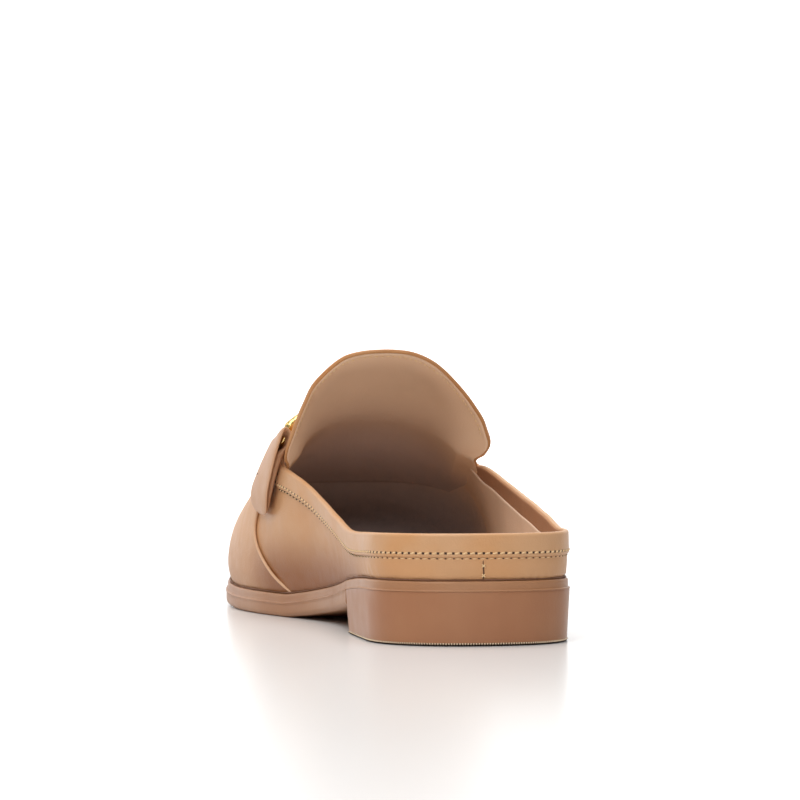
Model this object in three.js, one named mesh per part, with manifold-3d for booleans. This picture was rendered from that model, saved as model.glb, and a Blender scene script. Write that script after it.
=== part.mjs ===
// A woman's backless bit loafer for the right foot, standing empty on its sole.
// Y runs from the heel to the toe, Z is up, and -X is the inner side of the foot.
// The shoe is drawn along the centre line of its heel, and the group at the end
// moves it so that the origin lies on the floor under the middle of its outline.
import * as THREE from "three";
import { mergeVertices } from "three/addons/utils/BufferGeometryUtils.js";
import Module from "manifold-3d";

const wasm = await Module();
wasm.setup();

// Driving dimensions of the sole, in millimetres
const SOLE_LENGTH = 256;
const BALL_WIDTH = 87;
const HEEL_WIDTH = 63;
const TOE_SWING = 10; // how far the toe's tip lies to the inner side of the heel's centre line
const HEEL_HEIGHT = 19.5; // floor to the top of the sole, at the back
const FOREPART_THICKNESS = 7.4;
const WAIST_THICKNESS = 8.2;
const TOE_SPRING = 7;
const HEEL_LENGTH = 65; // back of the heel to its breast
const HEEL_TAPER = 0.9; // how much the heel draws in towards the floor, all round
const BREAST_SLANT = 2; // how far the breast leans back towards the floor
const RIM_HEIGHT = 3; // height of the band that runs round the top of the sole
const RIM_STEP = 0.5; // how far that band stands in from the sole's side
const EDGE_ROUND = 1.6; // rounding of the sole's lower edge

// Driving dimensions of the upper
const WALL = 2;
const UPPER_SETBACK = 1.4; // sole edge to the foot of the upper
const INSTEP_RISE = 64.3; // top of the sole to the instep, where the tongue begins
const TOE_RISE = 28.3; // top of the sole to the top of the toe box
const BACK_RISE = 14.4; // top of the sole to the collar, at the back
const NOTCH_RISE = 41.5; // top of the sole to the front corner of the collar
const BAND_HEIGHT = 7.8; // folded band round the collar
const BAND_STEP = 0.9;
const VAMP_STEP = 0.8; // the vamp laps over the quarters by this thickness
const INNER_BULGE = 14; // how far the inner side is pushed out over the arch
const GAP = 0.3; // between pieces that lie against each other

// Driving dimensions of what sits on the upper
const INSOLE_THICKNESS = 2.5;
const INSOLE_CLEARANCE = 0.6;
const TONGUE_THICKNESS = 2;
const TONGUE_PLAY = 0.7; // between the tongue and the wall it passes under
const TONGUE_FLARE = 8; // how far the free sides of the tongue curl out at most
const SPREAD_START = 4; // behind the throat, where that spreading begins
const TONGUE_TUCK = 9; // how far the tongue reaches under the vamp
const TAB_WIDTH = 12.5;
const TAB_THICKNESS = 1.1;
const WIRE = 2.1; // thickness of the bit's ring
const WIRE_PLAY = 0.45; // room round the wire in the tab's loop
const RING_LENGTH = 20;
const RING_HEIGHT = 12;
const BAR = 3.6; // thickness of the bit's bar at its ends

// Plan of the sole. half is a share of the widening from heel to ball, on each side,
// and swing is a share of TOE_SWING, towards the inner side.
const PLAN = [
  { at: 0.0, half: 0.0, swing: 0.0 },
  { at: 0.12, half: 0.0, swing: 0.0 },
  { at: 0.25, half: -0.02, swing: 0.0 },
  { at: 0.35, half: -0.06, swing: -0.1 },
  { at: 0.44, half: 0.02, swing: -0.11 },
  { at: 0.53, half: 0.335, swing: 0.08 },
  { at: 0.61, half: 0.712, swing: 0.31 },
  { at: 0.69, half: 0.977, swing: 0.44 },
  { at: 0.77, half: 1.0, swing: 0.56 },
  { at: 0.86, half: 0.8, swing: 0.7 },
  { at: 0.94, half: 0.56, swing: 0.86 },
  { at: 1.0, half: 0.34, swing: 1.0 },
];
const HEEL_CAP = { share: 0.49, square: 2.35 }; // round end of the plan, as a share of HEEL_WIDTH
const TOE_CAP = { share: 0.67, square: 2.2 }; // the same for the toe, as a share of BALL_WIDTH

// Side view of the sole. lift is a share of the heel's lift, spring of TOE_SPRING, and
// waist of what the waist is thicker than the forepart.
const PROFILE = [
  { at: 0.0, lift: 1.0, spring: 0.0, waist: 1.0 },
  { at: 0.12, lift: 0.955, spring: 0.0, waist: 1.0 },
  { at: 0.25, lift: 0.77, spring: 0.0, waist: 1.0 },
  { at: 0.35, lift: 0.545, spring: 0.0, waist: 0.9 },
  { at: 0.45, lift: 0.29, spring: 0.0, waist: 0.5 },
  { at: 0.52, lift: 0.1, spring: 0.0, waist: 0.15 },
  { at: 0.57, lift: 0.0, spring: 0.0, waist: 0.0 },
  { at: 0.71, lift: 0.0, spring: 0.0, waist: 0.0 },
  { at: 0.78, lift: 0.0, spring: 0.07, waist: 0.0 },
  { at: 0.86, lift: 0.0, spring: 0.29, waist: 0.0 },
  { at: 0.94, lift: 0.0, spring: 0.65, waist: 0.0 },
  { at: 1.0, lift: 0.0, spring: 1.0, waist: 0.0 },
];

// Ridge of the last. lean is a share of half the ball's width, to the inner side, and
// rise goes from 0 at TOE_RISE to 1 at INSTEP_RISE. Above the collar it is only a guide.
const RIDGE = [
  { at: 0.12, lean: 0.0, rise: 1.048 },
  { at: 0.235, lean: 0.06, rise: 1.3 },
  { at: 0.35, lean: 0.2, rise: 1.38 },
  { at: 0.42, lean: 0.245, rise: 1.367 },
  { at: 0.45, lean: 0.245, rise: 1.297 },
  { at: 0.49, lean: 0.235, rise: 1.187 },
  { at: 0.535, lean: 0.225, rise: 1.0 },
  { at: 0.586, lean: 0.22, rise: 0.834 },
  { at: 0.645, lean: 0.215, rise: 0.62 },
  { at: 0.703, lean: 0.22, rise: 0.41 },
  { at: 0.762, lean: 0.225, rise: 0.235 },
  { at: 0.8, lean: 0.23, rise: 0.125 },
  { at: 0.84, lean: 0.235, rise: 0.0 },
];

// Fullness of the half sections: side is how far the wall stands up before it turns in,
// top how flat the crown runs, and bulge a share of INNER_BULGE that pushes the wall out.
const FULLNESS = [
  { at: 0.0, innerSide: 0.6, innerTop: 0.6, innerBulge: 0.2, outerSide: 0.6, outerTop: 0.6, outerBulge: 0.2 },
  { at: 0.25, innerSide: 0.7, innerTop: 0.7, innerBulge: 0.45, outerSide: 0.68, outerTop: 0.68, outerBulge: 0.15 },
  { at: 0.39, innerSide: 0.85, innerTop: 0.85, innerBulge: 0.93, outerSide: 0.7, outerTop: 0.7, outerBulge: 0.1 },
  { at: 0.45, innerSide: 0.85, innerTop: 0.85, innerBulge: 1.0, outerSide: 0.62, outerTop: 0.68, outerBulge: 0.05 },
  { at: 0.535, innerSide: 0.85, innerTop: 0.85, innerBulge: 0.9, outerSide: 0.6, outerTop: 0.63, outerBulge: 0.05 },
  { at: 0.61, innerSide: 0.84, innerTop: 0.85, innerBulge: 0.3, outerSide: 0.6, outerTop: 0.63, outerBulge: 0.1 },
  { at: 0.7, innerSide: 0.82, innerTop: 0.85, innerBulge: 0.03, outerSide: 0.64, outerTop: 0.66, outerBulge: 0.2 },
  { at: 0.8, innerSide: 0.74, innerTop: 0.8, innerBulge: 0.08, outerSide: 0.68, outerTop: 0.7, outerBulge: 0.2 },
  { at: 1.0, innerSide: 0.66, innerTop: 0.74, innerBulge: 0.18, outerSide: 0.66, outerTop: 0.72, outerBulge: 0.18 },
];

// Collar line from the back to the notch. rise goes from 0 at BACK_RISE to 1 at NOTCH_RISE,
// and tilt is its slope across the shoe, up to the outer side.
const COLLAR = [
  { at: -0.2, rise: 0.0, tilt: 0.0 },
  { at: 0.0, rise: 0.0, tilt: 0.0 },
  { at: 0.12, rise: 0.005, tilt: 0.01 },
  { at: 0.215, rise: 0.09, tilt: 0.05 },
  { at: 0.273, rise: 0.2, tilt: 0.055 },
  { at: 0.332, rise: 0.33, tilt: 0.055 },
  { at: 0.39, rise: 0.49, tilt: 0.06 },
  { at: 0.45, rise: 0.67, tilt: 0.06 },
  { at: 0.508, rise: 0.86, tilt: 0.03 },
  { at: 0.545, rise: 1.0, tilt: 0.0 },
];
const NOTCH_AT = 0.545;
const THROAT_AT = 0.586; // where the throat crosses the ridge

// Rear edge of the vamp in the side view. z is a share of NOTCH_RISE above the sole.
const VAMP_EDGE = [
  { at: 0.553, z: -0.4 },
  { at: 0.557, z: 0.02 },
  { at: 0.582, z: 0.22 },
  { at: 0.613, z: 0.41 },
  { at: 0.63, z: 0.6 },
  { at: 0.632, z: 0.78 },
  { at: 0.614, z: 1.0 },
  { at: 0.588, z: 1.3 },
  { at: 0.575, z: 3.0 },
];

// Free edge of the tongue, from the middle (across 0) to its corners (across 1), and how
// far its two sides spread behind the throat, as shares of TONGUE_FLARE
const TONGUE_EDGE = [
  { across: 0.0, at: 0.42, inner: 0.0, outer: 0.0 },
  { across: 0.25, at: 0.432, inner: 0.66, outer: 0.28 },
  { across: 0.5, at: 0.458, inner: 0.95, outer: 0.58 },
  { across: 0.65, at: 0.478, inner: 0.83, outer: 0.84 },
  { across: 0.75, at: 0.493, inner: 0.75, outer: 1.0 },
  { across: 0.83, at: 0.506, inner: 0.7, outer: 1.0 },
  { across: 0.87, at: 0.515, inner: 0.34, outer: 0.75 },
  { across: 0.91, at: 0.524, inner: 0.0, outer: 0.25 },
  { across: 0.96, at: 0.534, inner: 0.0, outer: 0.0 },
  { across: 1.0, at: 0.542, inner: 0.0, outer: 0.0 },
];
// How far down the last's section the tongue's side edges reach
const TONGUE_CORNER = { inner: 0.3, outer: 0.42 };

const mix = (a, b, share) => a + (b - a) * share;
const clamp = (value, low, high) => Math.min(high, Math.max(low, value));

// A curve through one column of a table by cubic Hermite pieces with the given end slopes
function hermite(x, y, slope) {
  return (at) => {
    const p = clamp(at, x[0], x[x.length - 1]);
    let k = 0;
    while (k < x.length - 2 && p > x[k + 1]) k += 1;
    const h = x[k + 1] - x[k];
    const u = (p - x[k]) / h;
    const v = 1 - u;
    return (
      y[k] * v * v * (1 + 2 * u) +
      y[k + 1] * u * u * (1 + 2 * v) +
      slope[k] * h * u * v * v -
      slope[k + 1] * h * u * u * v
    );
  };
}

// The natural cubic spline through a column: the slopes that leave no jump in curvature
function smooth(table, column, along = "at") {
  const x = table.map((row) => row[along]);
  const y = table.map((row) => row[column]);
  const n = x.length;
  const upper = [];
  const right = [];
  for (let k = 0; k < n; k += 1) {
    const before = k > 0 ? 1 / (x[k] - x[k - 1]) : 0;
    const after = k < n - 1 ? 1 / (x[k + 1] - x[k]) : 0;
    const pull =
      3 *
      ((k > 0 ? (y[k] - y[k - 1]) * before * before : 0) +
        (k < n - 1 ? (y[k + 1] - y[k]) * after * after : 0));
    const pivot = 2 * (before + after) - (k > 0 ? before * upper[k - 1] : 0);
    upper.push(after / pivot);
    right.push((pull - (k > 0 ? before * right[k - 1] : 0)) / pivot);
  }
  const slope = right.slice();
  for (let k = n - 2; k >= 0; k -= 1) slope[k] -= upper[k] * slope[k + 1];
  return hermite(x, y, slope);
}

// A curve that never overshoots its rows, so that a level stretch stays level
function level(table, column, along = "at") {
  const x = table.map((row) => row[along]);
  const y = table.map((row) => row[column]);
  const rate = x.slice(1).map((_, k) => (y[k + 1] - y[k]) / (x[k + 1] - x[k]));
  const slope = x.map((_, k) => {
    const before = rate[k - 1];
    const after = rate[k];
    if (k === 0) return after;
    if (k === x.length - 1) return before;
    return before * after <= 0 ? 0 : (2 * before * after) / (before + after);
  });
  return hermite(x, y, slope);
}

const planHalf = smooth(PLAN, "half");
const planSwing = smooth(PLAN, "swing");
const profileLift = level(PROFILE, "lift");
const profileSpring = level(PROFILE, "spring");
const profileWaist = level(PROFILE, "waist");
const ridgeLean = smooth(RIDGE, "lean");
const ridgeRise = smooth(RIDGE, "rise");
const collarRise = level(COLLAR, "rise");
const collarTilt = level(COLLAR, "tilt");
const tongueEdge = level(TONGUE_EDGE, "at", "across");
const tongueCurl = { inner: level(TONGUE_EDGE, "inner", "across"), outer: level(TONGUE_EDGE, "outer", "across") };
const fullness = Object.fromEntries(
  Object.keys(FULLNESS[0])
    .filter((name) => name !== "at")
    .map((name) => [name, smooth(FULLNESS, name)]),
);

// Height of the sole's top, and of its underside, above the floor
function soleTop(y) {
  const at = y / SOLE_LENGTH;
  return (
    FOREPART_THICKNESS + (HEEL_HEIGHT - FOREPART_THICKNESS) * profileLift(at) + TOE_SPRING * profileSpring(at)
  );
}
function soleBottom(y) {
  const thicker = (WAIST_THICKNESS - FOREPART_THICKNESS) * profileWaist(y / SOLE_LENGTH);
  return soleTop(y) - FOREPART_THICKNESS - thicker;
}

// The plan is walked by u from 0 at the back, along the outer side, to 0.5 at the
// toe's tip and back along the inner side to 1. Its ends are superellipse caps.
const heelCap = HEEL_CAP.share * HEEL_WIDTH;
const toeCap = TOE_CAP.share * BALL_WIDTH;
const CAP_WALK = 0.17; // share of each side's walk that a cap takes
function stationOf(u) {
  const w = u <= 0.5 ? 2 * u : 2 * (1 - u);
  if (w < CAP_WALK) {
    const angle = (w / CAP_WALK) * (Math.PI / 2);
    return heelCap * (1 - Math.cos(angle) ** (2 / HEEL_CAP.square));
  }
  if (w > 1 - CAP_WALK) {
    const angle = ((1 - w) / CAP_WALK) * (Math.PI / 2);
    return SOLE_LENGTH - toeCap * (1 - Math.cos(angle) ** (2 / TOE_CAP.square));
  }
  return mix(heelCap, SOLE_LENGTH - toeCap, (w - CAP_WALK) / (1 - 2 * CAP_WALK));
}
function walkOf(y, inner) {
  const w = mix(CAP_WALK, 1 - CAP_WALK, (y - heelCap) / (SOLE_LENGTH - toeCap - heelCap));
  return inner ? 1 - w / 2 : w / 2;
}
function planPoint(u) {
  const walk = ((u % 1) + 1) % 1;
  const y = stationOf(walk);
  const at = y / SOLE_LENGTH;
  const capped = (reach, cap) => (1 - clamp(reach, 0, 1) ** cap.square) ** (1 / cap.square);
  const half =
    (HEEL_WIDTH / 2 + ((BALL_WIDTH - HEEL_WIDTH) / 2) * planHalf(at)) *
    capped((heelCap - y) / heelCap, HEEL_CAP) *
    capped((y - SOLE_LENGTH + toeCap) / toeCap, TOE_CAP);
  const side = walk <= 0.5 ? 1 : -1;
  return { x: side * half - TOE_SWING * planSwing(at), y };
}
function rimPoint(u, inset) {
  const step = 0.002;
  const middle = planPoint(u);
  const before = planPoint(u - step);
  const after = planPoint(u + step);
  const along = Math.hypot(after.x - before.x, after.y - before.y);
  return {
    x: middle.x - (inset * (after.y - before.y)) / along,
    y: middle.y + (inset * (after.x - before.x)) / along,
  };
}

// Share of the inner side's form at u: 1 on the inner side, 0 on the outer, even at the ends
function innerShare(u) {
  const w = u <= 0.5 ? 2 * u : 2 * (1 - u);
  const fromEnd = clamp(Math.min(w, 1 - w) / CAP_WALK, 0, 1);
  const turned = 0.5 * fromEnd * fromEnd * (3 - 2 * fromEnd);
  return u <= 0.5 ? 0.5 - turned : 0.5 + turned;
}

const heelAnchor = heelCap;
const toeAnchor = RIDGE[RIDGE.length - 1].at * SOLE_LENGTH;
function ridgeHeight(y) {
  return soleTop(y) + GAP + mix(TOE_RISE, INSTEP_RISE, ridgeRise(y / SOLE_LENGTH));
}

// A point of the last's skin, inset mm inside the upper's outer face. The half section
// at u is a Bezier arc from the foot of the wall (t 0) to the ridge (t 1).
function skinPoint(u, t, inset) {
  const foot = rimPoint(u, UPPER_SETBACK + inset);
  const anchorY = clamp(planPoint(u).y, heelAnchor, toeAnchor);
  const at = anchorY / SOLE_LENGTH;
  const inner = innerShare(u);
  const form = (name) => mix(fullness["outer" + name](at), fullness["inner" + name](at), inner);
  const slope = ridgeHeight(anchorY) - ridgeHeight(anchorY - 1);
  const ridge = {
    x: -ridgeLean(at) * (BALL_WIDTH / 2),
    z: ridgeHeight(anchorY) - inset * Math.hypot(1, slope),
  };
  const footZ = soleTop(foot.y) + GAP;
  const reach = Math.hypot(foot.x - ridge.x, foot.y - anchorY);
  const wide = (reach + INNER_BULGE * form("Bulge")) / reach;
  const crown = form("Top");
  const s = 1 - t;
  const out = s * s * s + 3 * s * s * t * wide + 3 * s * t * t * crown;
  const z =
    s * s * s * footZ +
    3 * s * s * t * mix(footZ, ridge.z, form("Side")) +
    3 * s * t * t * (ridge.z + slope * crown * (foot.y - anchorY)) +
    t * t * t * ridge.z;
  return new THREE.Vector3(mix(ridge.x, foot.x, out), mix(anchorY, foot.y, out), z);
}

// Triangles of a grid of points, in order, as a flat list of corners
function patch(columns, rows, point) {
  const corners = [];
  for (let i = 0; i < columns; i += 1) {
    for (let j = 0; j < rows; j += 1) {
      const [a, b, c, d] = [point(i, j), point(i + 1, j), point(i + 1, j + 1), point(i, j + 1)];
      corners.push(a, b, c, a, c, d);
    }
  }
  return corners;
}

// A closed solid of loose triangles: shared corners are merged and empty triangles dropped
function solidOf(corners) {
  const loose = new THREE.BufferGeometry().setFromPoints(corners);
  const merged = mergeVertices(loose, 1e-4);
  const index = [];
  for (let k = 0; k < merged.index.count; k += 3) {
    const [a, b, c] = [0, 1, 2].map((i) => merged.index.getX(k + i));
    if (a !== b && b !== c && c !== a) index.push(a, b, c);
  }
  const build = (triVerts) =>
    new wasm.Manifold(
      new wasm.Mesh({
        numProp: 3,
        vertProperties: merged.attributes.position.array,
        triVerts: new Uint32Array(triVerts),
      }),
    );
  const solid = build(index);
  return solid.volume() > 0 ? solid : build(index.reverse());
}

// A sheet between two grids of points, closed round its four edges
function sheetSolid(columns, rows, outer, inner) {
  return solidOf([
    ...patch(columns, rows, outer),
    ...patch(columns, rows, (i, j) => inner(columns - i, j)),
    ...patch(columns, 1, (i, j) => (j ? outer(i, 0) : inner(i, 0))),
    ...patch(columns, 1, (i, j) => (j ? inner(i, rows) : outer(i, rows))),
    ...patch(1, rows, (i, j) => (i ? outer(0, j) : inner(0, j))),
    ...patch(1, rows, (i, j) => (i ? inner(columns, j) : outer(columns, j))),
  ]);
}

// A prism across the whole shoe from an outline in the side view, as [y, z] points
const ACROSS = 2 * BALL_WIDTH;
const SKY = 4 * INSTEP_RISE;
function sidePrism(outline) {
  const shape = new THREE.Shape(outline.map(([y, z]) => new THREE.Vector2(y, z)));
  const prism = new THREE.ExtrudeGeometry(shape, { depth: ACROSS, bevelEnabled: false });
  prism.translate(0, 0, -ACROSS / 2);
  prism.applyMatrix4(
    new THREE.Matrix4().makeBasis(
      new THREE.Vector3(0, 1, 0),
      new THREE.Vector3(0, 0, 1),
      new THREE.Vector3(1, 0, 0),
    ),
  );
  const soup = prism.index ? prism.toNonIndexed() : prism;
  const place = soup.getAttribute("position");
  const corners = [];
  for (let k = 0; k < place.count; k += 1) corners.push(new THREE.Vector3().fromBufferAttribute(place, k));
  return solidOf(corners);
}

// All the space above a line of the side view, which is tilted across by the collar's slope
function spaceAbove(line) {
  const lanes = 12;
  const floor = (i, j) => {
    const [y, z] = line[line.length - 1 - i];
    const x = ACROSS * (j / lanes - 0.5);
    return new THREE.Vector3(x, y, z + x * collarTilt(y / SOLE_LENGTH));
  };
  return sheetSolid(line.length - 1, lanes, floor, (i, j) => floor(i, j).setZ(SKY));
}

// Columns round the plan: fine at the round ends, even along the sides
const CAP_COLUMNS = 8;
const SIDE_COLUMNS = 22;
function sideWalk() {
  const walk = [];
  for (let k = 0; k < CAP_COLUMNS; k += 1) walk.push((CAP_WALK * k) / CAP_COLUMNS);
  for (let k = 0; k <= SIDE_COLUMNS; k += 1) walk.push(mix(CAP_WALK, 1 - CAP_WALK, k / SIDE_COLUMNS));
  for (let k = 1; k <= CAP_COLUMNS; k += 1) walk.push(1 - CAP_WALK + (CAP_WALK * k) / CAP_COLUMNS);
  return walk;
}
const half = sideWalk();
const columns = [...half.map((w) => w / 2), ...half.slice(1, -1).reverse().map((w) => 1 - w / 2)];
const columnCount = columns.length;
const columnAt = (i) => columns[((i % columnCount) + columnCount) % columnCount];

// A closed body of rings round the plan. Each ring is a function of u, lowest first, and
// the lowest and highest are closed straight across, from one side to the other.
function ringSolid(rings) {
  const point = (i, j) => rings[j](columnAt(i));
  const last = rings.length - 1;
  const across = (j) => patch(half.length - 1, 1, (i, side) => point(side ? -i : i, j));
  const lid = across(last);
  const base = across(0);
  for (let k = 0; k < base.length; k += 3) [base[k], base[k + 1]] = [base[k + 1], base[k]];
  return solidOf([...patch(columnCount, last, point), ...lid, ...base]);
}
function ring(inset, height) {
  return (u) => {
    const { x, y } = rimPoint(u, inset);
    return new THREE.Vector3(x, y, height(planPoint(u).y));
  };
}

// The full last down to below the wall's foot, inset mm inside the upper's outer face
const SECTION_ROWS = 12;
function lastForm(inset, below) {
  const rows = SECTION_ROWS;
  const point = (i, j) => {
    const u = columnAt(i);
    const foot = skinPoint(u, Math.max(j, 0) ** 1.25 / rows ** 1.25, inset);
    if (j < 0) foot.z -= below;
    return foot;
  };
  const first = below > 0 ? -1 : 0;
  const wall = patch(columnCount, rows - first, (i, j) => point(i, j + first));
  const base = patch(half.length - 1, 1, (i, side) => point(side ? -i : i, first));
  for (let k = 0; k < base.length; k += 3) [base[k], base[k + 1]] = [base[k + 1], base[k]];
  return solidOf([...wall, ...base]);
}

// Lines of the side view
const collarZ = (y) => soleTop(y) + mix(BACK_RISE, NOTCH_RISE, collarRise(y / SOLE_LENGTH));
const notchY = NOTCH_AT * SOLE_LENGTH;
const throatY = THROAT_AT * SOLE_LENGTH;
function collarLine(drop) {
  const steps = 26;
  const start = -HEEL_LENGTH / 2;
  return Array.from({ length: steps + 1 }, (_, k) => {
    const y = mix(start, notchY, k / steps);
    return [y, collarZ(Math.max(y, 0)) - drop];
  });
}

function makeUpper() {
  const vampEdge = VAMP_EDGE.map(({ at, z }) => {
    const y = at * SOLE_LENGTH;
    return [y, soleTop(y) + z * NOTCH_RISE];
  });
  const edgeCurve = new THREE.SplineCurve(vampEdge.map(([y, z]) => new THREE.Vector2(y, z)));
  const vampRegion = sidePrism([
    ...edgeCurve.getPoints(28).map((p) => [p.x, p.y]),
    [SOLE_LENGTH + BALL_WIDTH, SKY],
    [SOLE_LENGTH + BALL_WIDTH, -SKY],
    [vampEdge[0][0], -SKY],
  ]);
  const bandRegion = spaceAbove([...collarLine(BAND_HEIGHT), [throatY, collarZ(notchY) - BAND_HEIGHT]]);
  const aboveCollar = spaceAbove([...collarLine(0), [throatY, ridgeHeight(throatY) + GAP]]);
  const outside = lastForm(0, 0)
    .add(lastForm(-VAMP_STEP, 0).intersect(vampRegion))
    .add(lastForm(-BAND_STEP, 0).intersect(bandRegion));
  return outside.subtract(lastForm(WALL, HEEL_HEIGHT)).subtract(aboveCollar);
}

function makeOutsole() {
  const rimFloor = (y) => soleTop(y) - RIM_HEIGHT;
  const full = ringSolid([
    ring(EDGE_ROUND, soleBottom),
    ring(EDGE_ROUND * 0.3, (y) => soleBottom(y) + EDGE_ROUND * 0.3),
    ring(0, (y) => soleBottom(y) + EDGE_ROUND),
    ring(0, rimFloor),
    ring(RIM_STEP, (y) => rimFloor(y) + RIM_STEP * 0.6),
    ring(RIM_STEP, (y) => soleTop(y) - RIM_STEP * 0.8),
    ring(RIM_STEP * 1.8, soleTop),
  ]);
  const steps = 10;
  const seat = Array.from({ length: steps + 1 }, (_, k) => {
    const y = mix(-HEEL_LENGTH / 2, HEEL_LENGTH, k / steps);
    return [y, rimFloor(Math.max(y, 0))];
  });
  return full.subtract(sidePrism([...seat, [HEEL_LENGTH, -SKY], [-HEEL_LENGTH / 2, -SKY]]));
}

function makeHeel() {
  const top = (y) => soleTop(y) - RIM_HEIGHT - GAP;
  const block = ringSolid([
    ring(HEEL_TAPER + EDGE_ROUND * 0.5, () => 0),
    ring(HEEL_TAPER, () => EDGE_ROUND * 0.5),
    ring(0, top),
  ]);
  const breastTop = HEEL_LENGTH - GAP;
  return block.intersect(
    sidePrism([
      [-SOLE_LENGTH, -SKY],
      [breastTop - BREAST_SLANT, -SKY],
      [breastTop - BREAST_SLANT, 0],
      [breastTop, top(HEEL_LENGTH)],
      [breastTop, SKY],
      [-SOLE_LENGTH, SKY],
    ]),
  );
}

function makeInsole() {
  const inset = UPPER_SETBACK + WALL + INSOLE_CLEARANCE;
  const lift = (rise) => (y) => soleTop(y) + GAP + rise;
  return ringSolid([
    ring(inset, lift(0)),
    ring(inset, lift(INSOLE_THICKNESS * 0.7)),
    ring(inset + INSOLE_THICKNESS * 0.3, lift(INSOLE_THICKNESS)),
  ]);
}

// A point of the tongue: across goes from -1 at its inner corner to 1 at its outer one,
// along from 0 under the vamp to 1 at the free edge.
function tonguePoint(across, along, inset) {
  const spread = Math.abs(across);
  const side = across < 0 ? "inner" : "outer";
  const edge = tongueEdge(spread) * SOLE_LENGTH;
  const y = mix(throatY + TONGUE_TUCK, edge, along);
  const start = mix(throatY, notchY, spread) - SPREAD_START;
  const free = clamp((start - y) / (start - edge), 0, 1);
  const point = skinPoint(walkOf(y, side === "inner"), mix(1, TONGUE_CORNER[side], spread), inset);
  point.x += Math.sign(across) * TONGUE_FLARE * tongueCurl[side](spread) * free * free * (3 - 2 * free);
  return point;
}
function makeTongue() {
  const acrossSteps = 32;
  const alongSteps = 14;
  const face = (inset) => (i, j) => tonguePoint((2 * i) / acrossSteps - 1, j / alongSteps, inset);
  const outerInset = WALL + TONGUE_PLAY;
  return sheetSolid(acrossSteps, alongSteps, face(outerInset), face(outerInset + TONGUE_THICKNESS));
}

// A side tab runs from its round tip low on the vamp (along 0) up to a loop that holds the
// bit's ring (along 1). rise is the distance off the vamp's face.
const TAB_TIP = { at: 0.632, t: 0.23 };
const TAB_TOP = { at: 0.565, t: 0.58 };
const loopRoom = WIRE + 2 * WIRE_PLAY;
function tabPoint(inner, along, across, rise) {
  const tip = Math.sqrt(1 - clamp(1 - along / 0.22, 0, 1) ** 2.4);
  const taper = tip * (1 - 0.3 * clamp((along - 0.8) / 0.2, 0, 1) ** 2);
  const lean = 1 - (1 - Math.min(along, 1)) ** 2;
  const y = mix(TAB_TIP.at, TAB_TOP.at, lean) * SOLE_LENGTH + (across * taper * TAB_WIDTH) / 2;
  return skinPoint(walkOf(y, inner), mix(TAB_TIP.t, TAB_TOP.t, along), -VAMP_STEP - GAP - rise);
}
function makeTab(inner) {
  const alongSteps = 16;
  const acrossSteps = 6;
  const height = (along) => {
    const loop = clamp((along - 0.55) / 0.2, 0, 1);
    const end = Math.sqrt(1 - clamp((along - 0.86) / 0.14, 0, 0.96) ** 2);
    return mix(TAB_THICKNESS, 2 * TAB_THICKNESS + loopRoom, loop * loop * (3 - 2 * loop)) * mix(0.45, 1, end);
  };
  const face = (share) => (i, j) => {
    const along = j / alongSteps;
    const middle = ((1 - share) * (1 - height(1) / height(0.8)) * clamp((along - 0.86) / 0.14, 0, 1)) / 2;
    const top = height(along);
    return tabPoint(inner, along, (2 * i) / acrossSteps - 1, top * share + middle * top);
  };
  const body = sheetSolid(acrossSteps, alongSteps, face(1), face(0));
  const eyeRise = (share) => TAB_THICKNESS * 0.8 + share * loopRoom;
  const eye = (share) => (i, j) =>
    tabPoint(inner, mix(0.66, 0.92, j / 4), ((2 * i) / acrossSteps - 1) * 1.3, eyeRise(share));
  return body.subtract(sheetSolid(acrossSteps, 4, eye(1), eye(0)));
}

// A closed or open tube of a given radius along points, with a rounded cap at open ends
function tube(points, radius, closed) {
  const sides = 8;
  const count = points.length;
  const at = (k) => points[closed ? (k + count) % count : clamp(k, 0, count - 1)];
  const frame = (k) => {
    const along = at(k + 1).clone().sub(at(k - 1)).normalize();
    const side = new THREE.Vector3(0.3, 0.1, 1).cross(along).normalize();
    return { side, up: along.clone().cross(side) };
  };
  const point = (k, j) => {
    const { side, up } = frame(k);
    const angle = (2 * Math.PI * (j % sides)) / sides;
    const size = radius(closed ? (k + count) % count : k);
    return at(k)
      .clone()
      .addScaledVector(side, size * Math.cos(angle))
      .addScaledVector(up, size * Math.sin(angle));
  };
  const wall = patch(closed ? count : count - 1, sides, point);
  if (closed) return solidOf(wall);
  const cap = (k, turn) => {
    const corners = [];
    for (let j = 0; j < sides; j += 1) {
      corners.push(at(k), point(k, j + (turn ? 1 : 0)), point(k, j + (turn ? 0 : 1)));
    }
    return corners;
  };
  return solidOf([...wall, ...cap(0, false), ...cap(count - 1, true)]);
}

// The bit: a ring in each tab's loop, joined over the instep by a bar
function ringFrame(inner) {
  const low = tabPoint(inner, 0.8, 0, TAB_THICKNESS * 0.8 + loopRoom / 2);
  const high = tabPoint(inner, 1.25, 0, TAB_THICKNESS * 0.8 + loopRoom / 2);
  const ahead = tabPoint(inner, 0.8, 1, TAB_THICKNESS * 0.8 + loopRoom / 2);
  const behind = tabPoint(inner, 0.8, -1, TAB_THICKNESS * 0.8 + loopRoom / 2);
  const along = ahead.sub(behind).normalize();
  const up = high.sub(low).projectOnPlane(along).normalize();
  return { low, along, up };
}
function ringPath(inner) {
  const { low, along, up } = ringFrame(inner);
  const steps = 24;
  const width = RING_LENGTH - WIRE;
  const tall = RING_HEIGHT - WIRE;
  return Array.from({ length: steps }, (_, k) => {
    const angle = (2 * Math.PI * k) / steps;
    const [c, s] = [Math.cos(angle), Math.sin(angle)];
    const round = (v) => Math.sign(v) * Math.abs(v) ** 0.62;
    return low
      .clone()
      .addScaledVector(along, (round(c) * width) / 2)
      .addScaledVector(up, ((1 + round(s)) * tall) / 2);
  });
}
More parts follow.
